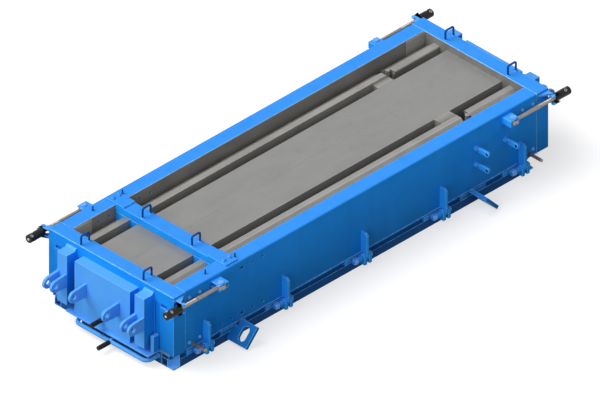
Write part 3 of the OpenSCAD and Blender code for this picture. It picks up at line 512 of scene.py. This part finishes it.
def threaded_rod(name, ends, thread, y, z, radius, pitch, sign=1, around=20):
    """A round bar along X whose thread is cut as a true helix between the two thread places."""
    depth = pitch * 0.32
    chamfer = 0.002
    start, end = ends
    first, last = thread
    steps = round((last - first) / pitch * 4)
    places = [(start, False), (first, False)]
    places += [(first + (last - first) * k / steps, True) for k in range(1, steps)]
    places += [(last, False), (end, False)]
    bm = bmesh.new()

    def point(x, cut, a):
        r = radius
        if cut:
            turn = (x / pitch + a / (2 * math.pi)) % 1.0
            r -= depth * (1 - abs(2 * turn - 1))
        if x in ends:
            r -= chamfer
        return (sign * x, y + r * math.cos(a), z + r * math.sin(a))

    rings = [ring_of(bm, around, lambda a: point(x, cut, a)) for x, cut in places]
    join_rings(bm, rings)
    bm.faces.new(rings[0])
    bm.faces.new(rings[-1][::-1])
    bmesh.ops.recalc_face_normals(bm, faces=bm.faces)
    return object_from_bmesh(name, bm)


# Geometry Nodes: weld beads along lines, and fasteners on points

def socket_id(tree, name):
    items = tree.interface.items_tree
    return next(i.identifier for i in items if i.name == name and i.in_out == "INPUT")


def new_tree(name, inputs):
    tree = bpy.data.node_groups.new(name, "GeometryNodeTree")
    tree.interface.new_socket("Geometry", in_out="INPUT", socket_type="NodeSocketGeometry")
    tree.interface.new_socket("Geometry", in_out="OUTPUT", socket_type="NodeSocketGeometry")
    for label, kind in inputs:
        tree.interface.new_socket(label, in_out="INPUT", socket_type="NodeSocket" + kind)
    return tree, tree.nodes.new("NodeGroupInput"), tree.nodes.new("NodeGroupOutput")


def live(sockets, name=None):
    """The socket in use, of those that a node keeps for each kind of value."""
    return next(s for s in sockets if s.enabled and name in (None, s.name))


def weld_tree():
    """Lines become overlapping ripples, each a flattened ball turned along the line."""
    inputs = [("Ripple pitch", "Float"), ("Bead radius", "Float"), ("Finish", "Material")]
    tree, given, result = new_tree("weld_beads", inputs)
    new = tree.nodes.new
    link = tree.links.new
    curve = new("GeometryNodeMeshToCurve")
    resample = new("GeometryNodeResampleCurve")
    resample.mode = "LENGTH"
    ball = new("GeometryNodeMeshUVSphere")
    ball.inputs["Segments"].default_value = 7
    ball.inputs["Rings"].default_value = 4
    tangent = new("GeometryNodeInputTangent")
    turn = new("FunctionNodeAlignEulerToVector")
    turn.axis = "Z"
    vary = new("FunctionNodeRandomValue")
    for key, value in (("Min", 0.85), ("Max", 1.15), ("Seed", 5)):
        live(vary.inputs, key).default_value = value
    scale = new("ShaderNodeCombineXYZ")
    scale.inputs["Z"].default_value = 0.8
    place = new("GeometryNodeInstanceOnPoints")
    real = new("GeometryNodeRealizeInstances")
    smooth = new("GeometryNodeSetShadeSmooth")
    paint = new("GeometryNodeSetMaterial")
    link(given.outputs["Geometry"], curve.inputs[0])
    link(curve.outputs[0], resample.inputs["Curve"])
    link(given.outputs["Ripple pitch"], resample.inputs["Length"])
    link(given.outputs["Bead radius"], ball.inputs["Radius"])
    link(tangent.outputs[0], turn.inputs["Vector"])
    link(resample.outputs[0], place.inputs["Points"])
    link(ball.outputs["Mesh"], place.inputs["Instance"])
    link(turn.outputs[0], place.inputs["Rotation"])
    link(live(vary.outputs), scale.inputs["X"])
    link(live(vary.outputs), scale.inputs["Y"])
    link(scale.outputs[0], place.inputs["Scale"])
    link(place.outputs[0], real.inputs[0])
    link(real.outputs[0], smooth.inputs[0])
    link(smooth.outputs[0], paint.inputs["Geometry"])
    link(given.outputs["Finish"], paint.inputs["Material"])
    link(paint.outputs[0], result.inputs[0])
    return tree


def fastener_tree():
    """A fastener is put on each point and turned to the point's own angles."""
    tree, given, result = new_tree("fasteners", [("Fastener", "Object"), ("Finish", "Material")])
    new = tree.nodes.new
    link = tree.links.new
    points = new("GeometryNodeMeshToPoints")
    source = new("GeometryNodeObjectInfo")
    angles = new("GeometryNodeInputNamedAttribute")
    angles.data_type = "FLOAT_VECTOR"
    angles.inputs["Name"].default_value = "angles"
    place = new("GeometryNodeInstanceOnPoints")
    real = new("GeometryNodeRealizeInstances")
    paint = new("GeometryNodeSetMaterial")
    link(given.outputs["Geometry"], points.inputs[0])
    link(given.outputs["Fastener"], source.inputs["Object"])
    link(points.outputs[0], place.inputs["Points"])
    link(source.outputs["Geometry"], place.inputs["Instance"])
    link(live(angles.outputs), place.inputs["Rotation"])
    link(place.outputs[0], real.inputs[0])
    link(real.outputs[0], paint.inputs["Geometry"])
    link(given.outputs["Finish"], paint.inputs["Material"])
    link(paint.outputs[0], result.inputs[0])
    return tree


WELDS = weld_tree()
FASTENERS = fastener_tree()


def grow(base, tree, values):
    """Runs a tree on the base object and returns the plain mesh object."""
    modifier = base.modifiers.new("make", "NODES")
    modifier.node_group = tree
    for label, value in values.items():
        modifier[socket_id(tree, label)] = value
    apply_modifiers(base)
    return base


def weld_lines(name, body, lines, radius):
    """Weld beads along straight lines, each a pair of points on a seam."""
    mesh = bpy.data.meshes.new(name)
    edges = [(2 * k, 2 * k + 1) for k in range(len(lines))]
    mesh.from_pydata([point for line in lines for point in line], edges, [])
    values = {"Ripple pitch": 0.007, "Bead radius": radius, "Finish": BLUE_LIT}
    obj = grow(new_object(name, mesh), WELDS, values)
    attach(obj, body)


def place_fasteners(name, body, source, placed, material):
    """One copy of a fastener at each (point, outward direction, turn)."""
    mesh = bpy.data.meshes.new(name)
    mesh.from_pydata([p for p, _, _ in placed], [], [])
    angles = mesh.attributes.new("angles", "FLOAT_VECTOR", "POINT")
    for k, (_, out, turn) in enumerate(placed):
        spin = Matrix.Rotation(turn, 3, "Z")
        look = Vector(Z_AXIS).rotation_difference(Vector(out)).to_matrix()
        angles.data[k].vector = (look @ spin).to_euler()
    obj = grow(new_object(name, mesh), FASTENERS, {"Fastener": source, "Finish": material})
    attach(obj, body)


def hex_bolt_head(name, across, height, washer_r, washer_t):
    """A hexagon head with a turned-down crown and a washer under it, standing on Z = 0."""
    bm = bmesh.new()

    def prism(sides, levels):
        rings = [ring_of(bm, sides, lambda a: (r * math.cos(a), r * math.sin(a), z)) for z, r in levels]
        join_rings(bm, rings)
        bm.faces.new(rings[0][::-1])
        bm.faces.new(rings[-1])

    r = across / 2
    overlap = 0.0002
    prism(6, [(washer_t - overlap, r), (washer_t + height * 0.86, r), (washer_t + height, r * 0.87)])
    prism(24, [(0, washer_r), (washer_t * 0.7, washer_r), (washer_t, washer_r - washer_t * 0.3)])
    bmesh.ops.recalc_face_normals(bm, faces=bm.faces)
    obj = object_from_bmesh(name, bm)
    obj.data.shade_smooth()
    obj.data.set_sharp_from_angle(angle=math.radians(28))
    return obj


# The carried-over forms, with eased edges

for node in ("near_ledge", "stacking_feet", "fork_plates"):
    eased(node, 0.002, BLUE_BRIGHT)
# Fronts in the paler blue and flanks in the plain blue: painted light and painted shade
for node in ("end_boxes", "end_columns", "stop_bracket"):
    eased(node, 0.002, BLUE_BRIGHT, inside=BLUE, where=shaded_flanks)
# The rails and crossmembers take the darker copy of the blue as painted shade
for node in ("pallet_rails", "pallet_crossmembers"):
    eased(node, 0.002, BLUE_SHADED)
eased("hinge_consoles", 0.002, BLUE_LIT)
for node in ("end_frame_near", "end_frame_far"):
    eased(node, 0.002, BLUE, inside=WALL_STEEL, bend=0.005)
eased("lifting_lugs", 0.0025, BLUE)
for node in ("end_lugs_near", "end_lugs_far", "pull_bar"):
    eased(node, 0.0025, BLUE_BRIGHT)
for node in ("core_skin_left", "core_skin_right"):
    eased(node, 0.001, PLATE, bend=0.003)
for node in ("deck_plate", "core_ribs"):
    eased(node, 0.001, WALL_STEEL)
for side in SIDES:
    eased("side_shell_" + side, 0.0018, BLUE, inside=WALL_STEEL, bend=0.005)
    eased("hinge_leaves_" + side, 0.002, BLUE_LIT)
    eased("clevises_" + side, 0.0018, BLUE_LIT)
    eased("former_near_" + side, 0.0015, FORMER)
    eased("former_main_" + side, 0.0015, FORMER, bend=0.004)
    eased("former_far_" + side, 0.0015, FORMER)
    eased("end_liners_" + side, 0.001, LINER)
eased("divider_beam", 0.0018, BLUE, bend=0.004)
eased("divider_legs", 0.0018, BLUE)
# The stem holes are lined with the black finish as painted shade
for node in ("clamp_screw_high", "clamp_screw_low", "clamp_screw_far"):
    eased(node, 0.0015, BLUE_LIT, inside=BLACK, where=in_stem_hole)
for end in ENDS:
    eased("locking_pin_" + end, 0.002, PIN)
    for side in SIDES:
        nut = f"sleeve_nut_{end}_{side}"
        eased(nut, 0.0015, BLACK, inside=ROD, where=in_cross_hole)
for node in ("end_bows", "divider_bows"):
    nodes[node].data.materials.clear()
    nodes[node].data.materials.append(BLUE_DEEP)


# Swing bolts: forged eye, plain shank and a cut thread that runs into the sleeve nut

def swing_bolt(end, side):
    ex = ENDS[end]
    sy = SIDES[side]
    name = f"swing_bolt_{end}_{side}"
    crown = 0.003
    lead = 0.0015
    root = BOLT_X + EYE_R - 0.006
    into_nut = 0.07
    bm = bmesh.new()
    rings = []
    for z, outer, inner in ((-BOLT_R, EYE_R - crown, PIVOT_R + lead), (-BOLT_R + crown, EYE_R, PIVOT_R),
                            (BOLT_R - crown, EYE_R, PIVOT_R), (BOLT_R, EYE_R - crown, PIVOT_R + lead)):
        for r in (outer, inner):
            rings.append(ring_of(bm, 48, lambda a: (ex * BOLT_X + r * math.cos(a),
                                                    sy * BOLT_Y + r * math.sin(a), BOLT_Z + z)))
    join_rings(bm, [rings[k] for k in (0, 2, 4, 6, 7, 5, 3, 1, 0)])
    bmesh.ops.recalc_face_normals(bm, faces=bm.faces)
    eye = object_from_bmesh(name + "_eye", bm)
    thread = (NUT_X - 0.15, NUT_X + into_nut - 0.01)
    ends = (root, NUT_X + into_nut)
    rod = threaded_rod(name + "_rod", ends, thread, sy * BOLT_Y, BOLT_Z, BOLT_R, 0.004, ex)
    forged = join_pieces(name + "_forged", [eye, rod])
    obj = finish_piece(forged, f"bolt_{end}_{side}", ROD, 35)
    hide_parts(name)


for end in ENDS:
    for side in SIDES:
        swing_bolt(end, side)


# Grips with moulded rings, a shoulder and a rounded end

def ribbed_profile(length, radius):
    groove = radius * 0.88
    ring = 0.0088
    nose = 0.008
    profile = [(0, radius * 0.8), (0.0015, radius), (0.008, radius), (0.0095, groove)]
    x = 0.013
    while x + ring < length - 0.012:
        profile += [(x, groove), (x + 0.0015, radius)]
        profile += [(x + ring - 0.0028, radius), (x + ring - 0.0013, groove)]
        x += ring
    end = length - nose
    profile += [(end - 0.002, radius * 0.9), (end, radius)]
    profile += [(end + nose * math.sin(a), radius - nose * (1 - math.cos(a))) for a in (0.5, 1.0, 1.57)]
    return profile


def grip(name, face, y, z):
    """A grip that points away from the near end and stands on the given face."""
    return lathe(name, ribbed_profile(GRIP_L, GRIP_R), (face - SEAT, y, z), (-1, 0, 0))


pull_grip = grip("pull_bar_grip_ribbed", -HALF_L - BAR_OUT - BAR_R, BAR_BRACKET_Y, BAR_Z)
finish_piece(pull_grip, "base", RUBBER)
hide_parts("pull_bar_grip")
box_face = -HALF_L - BOX_OUT
latch_grip = grip("latch_grip", box_face, 0, LATCH_Z)
latch_profile = [(0, 0.0105), (0.0015, 0.012), (0.0745, 0.012), (0.076, 0.0105)]
latch_rod = lathe("latch_rod", latch_profile, (box_face - 0.001, 0, LATCH_Z), X_AXIS, 24)
latch_pieces = join_pieces("latch_pin_handle", [latch_grip, latch_rod])
latch = finish_piece(latch_pieces, "latch", RUBBER)
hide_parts("latch_pin")


# Hinge pins: headed pin, sleeve, washer and nut with thread showing past it

PIN_HEAD = [(0, 0.018), (0.002, 0.02), (0.006, 0.02), (0.008, 0.0175)]
PIN_SLEEVE = [(0, 0.0205), (0.0015, 0.022), (0.0505, 0.022), (SLEEVE_L, 0.0205)]
PIN_WASHER = [(0, 0.025), (0.001, 0.026), (0.006, 0.026), (WASHER_T, 0.025)]
PIN_NUT = [(0, 0.0205), (0.0022, 0.023), (0.0178, 0.023), (HINGE_NUT_H, 0.0205)]


def hinge_pin_pieces(x, y):
    """The painted rod and sleeve of one hinge, and its head, washer and nut."""
    head = x + LEAF_T + SEAT + HINGE_LUG_T + 0.01
    sleeve = x - SEAT - HINGE_LUG_T - SLEEVE_L
    washer = sleeve - WASHER_T
    nut = washer - HINGE_NUT_H
    tip = nut - 0.003
    thread = (tip + 0.0001, sleeve - 0.004)
    rod = threaded_rod("pin", (tip, head), thread, y, HINGE_Z, HINGE_PIN_R, 0.003, 1, 18)
    painted = [rod, lathe("sleeve", PIN_SLEEVE, (sleeve, y, HINGE_Z), X_AXIS, 28)]
    bare = [lathe("head", PIN_HEAD, (head, y, HINGE_Z), X_AXIS, 28),
            lathe("washer", PIN_WASHER, (washer, y, HINGE_Z), X_AXIS, 28),
            lathe("nut", PIN_NUT, (nut, y, HINGE_Z), X_AXIS, 6)]
    return painted, bare


painted = []
bare = []
for sy in SIDES.values():
    for x in HINGE_X:
        rods, nuts = hinge_pin_pieces(x, sy * HINGE_Y)
        painted += rods
        bare += nuts
pins = finish_piece(join_pieces("hinge_pins_painted", painted), "base", BLUE_LIT, 32)
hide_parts("hinge_pins")
finish_piece(join_pieces("hinge_pin_nuts", bare), "base", HEADS, 32)


# Liner bolts on points, pivot pins in the clevises, and the studs that place the divider

def liner_bolts(side, sy):
    """Heads outside a wall, and shanks that end in the liner above and behind the former below."""
    places = [(x, z) for z in (ROW_HIGH, ROW_LOW) for x in LINER_BOLT_X]
    heads = [((x, sy * HALF_W, z), (0, sy, 0), 0.35 * k) for k, (x, z) in enumerate(places)]
    place_fasteners("liner_bolt_heads_" + side, "side_" + side, liner_bolt, heads, HEADS)
    shanks = []
    for x, z in places:
        inner = WALL_IN - (REACH_HIGH if z == ROW_HIGH else REACH_LOW)
        profile = [(0, 0.0055), (0.0005, 0.006), (HALF_W - inner, 0.006)]
        shanks.append(lathe("shank", profile, (x, sy * inner, z), (0, sy, 0), 16))
    joined = join_pieces("liner_bolt_shanks_" + side, shanks)
    shank = finish_piece(joined, "side_" + side, PLATE)
    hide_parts("liner_bolts_" + side)


def pivot_pins(side, sy):
    """A pin through each clevis, with a head above the upper ear and a clip under the lower one."""
    pin = [(-EAR - 0.012, 0.0105), (-EAR - 0.0105, 0.012), (EAR, 0.012)]
    head = [(EAR, 0.0215), (EAR + 0.001, 0.022), (EAR + 0.007, 0.022), (EAR + 0.01, 0.018)]
    clip = [(-EAR - 0.005, 0.0165), (-EAR - 0.004, 0.017), (-EAR - 0.001, 0.017), (-EAR, 0.0165)]
    pivots = []
    caps = []
    for ex in ENDS.values():
        at = (ex * BOLT_X, sy * BOLT_Y, BOLT_Z)
        pivots.append(lathe("pivot", pin, at, Z_AXIS, 28))
        caps.append(lathe("head", head, at, Z_AXIS, 32))
        caps.append(lathe("clip", clip, at, Z_AXIS, 24))
    joined = join_pieces("pivot_pins_" + side, pivots)
    pivot = finish_piece(joined, "side_" + side, BLUE_LIT)
    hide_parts("clevis_pins_" + side)
    finish_piece(join_pieces("pivot_pin_heads_" + side, caps), "side_" + side, HEADS)


def locating_studs(side, sy):
    """Two round-nosed studs on the top flange of a wall, before and behind the divider's tab."""
    profile = [(0, 0.0095), (0.003, 0.0095), (0.004, 0.0085), (0.0042, 0.0055), (0.031, 0.0055),
               (0.034, 0.0048), (0.036, 0.003)]
    studs = [lathe("stud", profile, (x, sy * STUD_Y, TOP), Z_AXIS, 24) for x in STUD_X]
    joined = join_pieces("locating_pins_" + side, studs)
    stud = finish_piece(joined, "side_" + side, BLUE_DEEP)
    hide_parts("flange_pins_" + side)


liner_bolt = hex_bolt_head("liner_bolt_source", 0.0215, 0.0075, 0.0135, 0.0015)
for side, sy in SIDES.items():
    liner_bolts(side, sy)
    pivot_pins(side, sy)
    locating_studs(side, sy)
remove(liner_bolt)


# Welds

def upright_pair(x, y0, y1, z0, z1):
    """Upright seams at the two corners of a box, or on the two sides of a lug plate."""
    return [((x, y0, z0), (x, y0, z1)), ((x, y1, z0), (x, y1, z1))]


def lug_seams(x, y):
    low = EYE_Z - LUG_ROOT / 2
    high = EYE_Z + LUG_ROOT / 2
    return upright_pair(x, y - END_LUG_T / 2, y + END_LUG_T / 2, low, high)


def end_seams(ex):
    """Seams of the columns, boxes, lugs and fork plates at one end."""
    front = ex * HALF_L
    seams = []
    for sy in SIDES.values():
        y0, y1 = sorted((sy * (COLUMN_Y - COLUMN_W / 2), sy * (COLUMN_Y + COLUMN_W / 2)))
        seams += upright_pair(front, y0, y1, COLUMN_FOOT, TOP - COLUMN_DROP)
        for along in (-LUG_PITCH / 2, LUG_PITCH / 2):
            seams += lug_seams(front + ex * COLUMN_OUT, sy * COLUMN_Y + along)
        seams += lug_seams(front + ex * BOX_OUT, sy * BOX_LUG_Y)
        for face in (FORK_IN, FORK_OUT, -FORK_IN, -FORK_OUT):
            z = BOLT_Z + face
            seams.append(((ex * FORK_ROOT[0], sy * HALF_W, z), (ex * FORK_ROOT[1], sy * HALF_W, z)))
    return seams + upright_pair(front, -BOX_HALF, BOX_HALF, DECK_TOP, TOP - END_BEAM)


def low_seams(sy):
    """Seams along a rail and at the fixed lugs of its hinges."""
    recess = sy * (HALF_W - RECESS)
    seams = [((RAIL_SEAM[0], recess, RAIL_H), (RAIL_SEAM[1], recess, RAIL_H))]
    for x in HINGE_X:
        for x0 in (x - SEAT - HINGE_LUG_T, x + LEAF_T + SEAT + HINGE_LUG_T):
            seams.append(((x0, sy * HALF_W, HINGE_SEAM_LOW), (x0, sy * HALF_W, RAIL_H)))
    return seams


def wall_seams(sy):
    """Seams of the hinge leaves and of the clevises on a wall."""
    y = sy * HALF_W
    seams = []
    for x in HINGE_X:
        for x0 in (x, x + LEAF_T):
            seams.append(((x0, y, LEAF_LOW + 0.006), (x0, y, LEAF_TOP)))
        seams.append(((x, y, LEAF_TOP), (x + LEAF_T, y, LEAF_TOP)))
    back = BOLT_X - EYE_R - CLEVIS_GAP - CLEVIS_T
    for ex in ENDS.values():
        seams.append(((ex * back, y, BOLT_Z - EAR), (ex * back, y, BOLT_Z + EAR)))
        for z in (BOLT_Z - EAR, BOLT_Z + EAR):
            seams.append(((ex * back, y, z), (ex * (BOLT_X + EAR_PAST), y, z)))
    return seams


def divider_seam(sy):
    """The seam where a tab leaves the divider's beam."""
    y = sy * (WALL_IN - TAB_IN)
    half = DIVIDER_W / 2 - 0.004
    return ((DIVIDER_X - half, y, DIVIDER_TOP), (DIVIDER_X + half, y, DIVIDER_TOP))


frame_seams = [seam for ex in ENDS.values() for seam in end_seams(ex)]
frame_seams += [seam for sy in SIDES.values() for seam in low_seams(sy)]
weld_lines("frame_welds", "base", frame_seams, 0.0042)
for side, sy in SIDES.items():
    weld_lines("wall_welds_" + side, "side_" + side, wall_seams(sy), 0.004)
weld_lines("divider_welds", "divider", [divider_seam(sy) for sy in SIDES.values()], 0.004)


# Bright steel rims round the cross holes of the sleeve nuts

RIM = [(0, 0.0072), (0.0026, 0.0072), (0.0026, 0.0098), (0, 0.0108), (0, 0.0072)]
CENTRE_MARK = [(-0.0008, 0.009), (0.0006, 0.009), (0.0012, 0.0082)]


def nut_rims(end, side):
    ex = ENDS[end]
    sy = SIDES[side]
    nut_end = ex * (NUT_X + NUT_L)
    made = []
    for from_end, lean in ((0.044, 0.5), (0.02, -0.5)):
        middle = Vector((ex * (NUT_X + NUT_L - from_end), sy * BOLT_Y, BOLT_Z))
        for way in (1, -1):
            out = Vector((0, sy * lean * way, 0.866 * way))
            made.append(lathe("rim", RIM, middle + out * (NUT_R - 0.0022), out, 24, close=False))
    made.append(lathe("centre_mark", CENTRE_MARK, (nut_end, sy * BOLT_Y, BOLT_Z), (ex, 0, 0), 24))
    rims = join_pieces(f"nut_rims_{end}_{side}", made)
    finish_piece(rims, f"nut_{end}_{side}", BRIGHT, 30)


for end in ENDS:
    for side in SIDES:
        nut_rims(end, side)


# A dark bar under the near ledge, between the legs of the pull bar, that puts painted shade in the gap
# behind the bar

def flat_bar(name, low, high):
    """A rectangular bar between two corners, with its edges just broken."""
    bm = bmesh.new()
    bmesh.ops.create_cube(bm, size=1)
    size = Vector(high) - Vector(low)
    centre = (Vector(high) + Vector(low)) / 2
    place = Matrix.Translation(centre) @ Matrix.Diagonal((*size, 1))
    bmesh.ops.transform(bm, matrix=place, verts=bm.verts)
    bmesh.ops.bevel(bm, geom=bm.edges[:], offset=0.001, segments=1, affect="EDGES", clamp_overlap=True)
    return object_from_bmesh(name, bm)


# painted shade: a dark bar where the gap shows only shade
shade_bar_low = (-HALF_L - 0.066, -0.43, 0.022)
shade_bar_high = (-HALF_L - 0.058, 0.215, LEDGE_LOW - SEAT)
finish_piece(flat_bar("ledge_rib", shade_bar_low, shade_bar_high), "base", BLUE_SHADED)


# Weld collars round the feet of the bent-bar bows and the pull bar

def collar(centre, axis, radius):
    profile = [(-0.001, radius + 0.001), (0, radius + 0.0045), (0.002, radius + 0.0038),
               (0.0045, radius + 0.0008), (0.0047, radius - 0.001)]
    return lathe("collar", profile, centre, axis, 20)


def bow_collars(x, y, z):
    """Collars round both feet of a bow."""
    return [collar((x + dx, y, z), Z_AXIS, BOW_R) for dx in (-BOW_W / 2, BOW_W / 2)]


feet = []
for ex in ENDS.values():
    for sy in SIDES.values():
        feet += bow_collars(ex * END_BOW_X, sy * END_BOW_Y, TOP)
feet += [collar((-HALF_L, y, BAR_Z), (-1, 0, 0), BAR_R) for y in BAR_FEET]
finish_piece(join_pieces("bow_feet", feet), "base", BLUE_BRIGHT)
feet = []
for sy in SIDES.values():
    feet += bow_collars(DIVIDER_X, sy * DIVIDER_BOW_Y, DIVIDER_TOP)
finish_piece(join_pieces("divider_bow_feet", feet), "divider", BLUE_BRIGHT)


# Camera: the photograph's view, without perspective

VIEW_WIDTH = 4.076
PHOTO_PIXELS = 600
TILT = math.radians(34.3)
HALF_ROOT = math.sqrt(0.5)
RIGHT = Vector((HALF_ROOT, -HALF_ROOT, 0))
BACK = Vector((-math.cos(TILT) * HALF_ROOT, -math.cos(TILT) * HALF_ROOT, math.sin(TILT)))
UP = BACK.cross(RIGHT)

pixel = VIEW_WIDTH / PHOTO_PIXELS
aim = RIGHT * (1.5 * pixel) + UP * (30.2 * pixel)
camera = bpy.data.objects.new("camera", bpy.data.cameras.new("camera"))
bpy.context.scene.collection.objects.link(camera)
camera.data.type = "ORTHO"
camera.data.ortho_scale = VIEW_WIDTH
camera.data.clip_end = 60
turned = Matrix((RIGHT, UP, BACK)).transposed().to_4x4()
camera.matrix_world = Matrix.Translation(aim + BACK * 8) @ turned
bpy.context.scene.camera = camera


# Studio: pale floor, soft key from the near left, low fill, white background

def sun(name, energy, direction, spread):
    """A sun that shines from the given direction, with its spread in degrees."""
    data = bpy.data.lights.new(name, "SUN")
    data.energy = energy
    data.angle = math.radians(spread)
    obj = bpy.data.objects.new(name, data)
    bpy.context.scene.collection.objects.link(obj)
    obj.matrix_world = Vector(Z_AXIS).rotation_difference(Vector(direction)).to_matrix().to_4x4()


def white_to_camera(tree, plain, bright):
    """White to the camera and in reflections, and the plain level as a light."""
    path = tree.nodes.new("ShaderNodeLightPath")
    any_view = path.outputs["Is Camera Ray"]
    for ray in ("Is Glossy Ray", "Is Transmission Ray"):
        add = tree.nodes.new("ShaderNodeMath")
        add.operation = "MAXIMUM"
        tree.links.new(any_view, add.inputs[0])
        tree.links.new(path.outputs[ray], add.inputs[1])
        any_view = add.outputs[0]
    mix = tree.nodes.new("ShaderNodeMixShader")
    tree.links.new(any_view, mix.inputs[0])
    tree.links.new(plain.outputs[0], mix.inputs[1])
    tree.links.new(bright.outputs[0], mix.inputs[2])
    return mix.outputs[0]


def white_world():
    world = bpy.data.worlds.new("studio")
    world.use_nodes = True
    tree = world.node_tree
    tree.nodes.clear()
    plain = tree.nodes.new("ShaderNodeBackground")
    plain.inputs["Color"].default_value = (0.99, 0.995, 1, 1)
    plain.inputs["Strength"].default_value = 0.1
    bright = tree.nodes.new("ShaderNodeBackground")
    bright.inputs["Color"].default_value = (1, 1, 1, 1)
    output = tree.nodes.new("ShaderNodeOutputWorld")
    tree.links.new(white_to_camera(tree, plain, bright), output.inputs["Surface"])
    return world


def pale_finish():
    """White to the camera with a soft shadow, and grey as a light on the object."""
    material = bpy.data.materials.new("pale_floor")
    material.use_nodes = True
    tree = material.node_tree
    tree.nodes.clear()
    plain = tree.nodes.new("ShaderNodeBsdfDiffuse")
    plain.inputs["Color"].default_value = (0.16, 0.16, 0.16, 1)
    shade = tree.nodes.new("ShaderNodeBsdfDiffuse")
    shade.inputs["Color"].default_value = (0.5, 0.5, 0.5, 1)
    glow = tree.nodes.new("ShaderNodeEmission")
    glow.inputs["Strength"].default_value = 0.62
    bright = tree.nodes.new("ShaderNodeAddShader")
    tree.links.new(shade.outputs[0], bright.inputs[0])
    tree.links.new(glow.outputs[0], bright.inputs[1])
    output = tree.nodes.new("ShaderNodeOutputMaterial")
    tree.links.new(white_to_camera(tree, plain, bright), output.inputs["Surface"])
    return material


sun("key", 2.75, (-0.4, 0.4, 0.82), 46)
sun("end_fill", 1.35, (-0.93, -0.22, 0.3), 50)
sun("side_fill", 0.6, (0, -0.8, 0.5), 40)
bpy.context.scene.world = white_world()

reach = 9
floor_mesh = bpy.data.meshes.new("floor")
corners = [(-reach, -reach, 0), (reach, -reach, 0), (reach, reach, 0), (-reach, reach, 0)]
floor_mesh.from_pydata(corners, [], [(0, 1, 2, 3)])
floor = new_object("floor", floor_mesh)
floor.data.materials.append(pale_finish())

view = bpy.context.scene.view_settings
view.view_transform = "Standard"
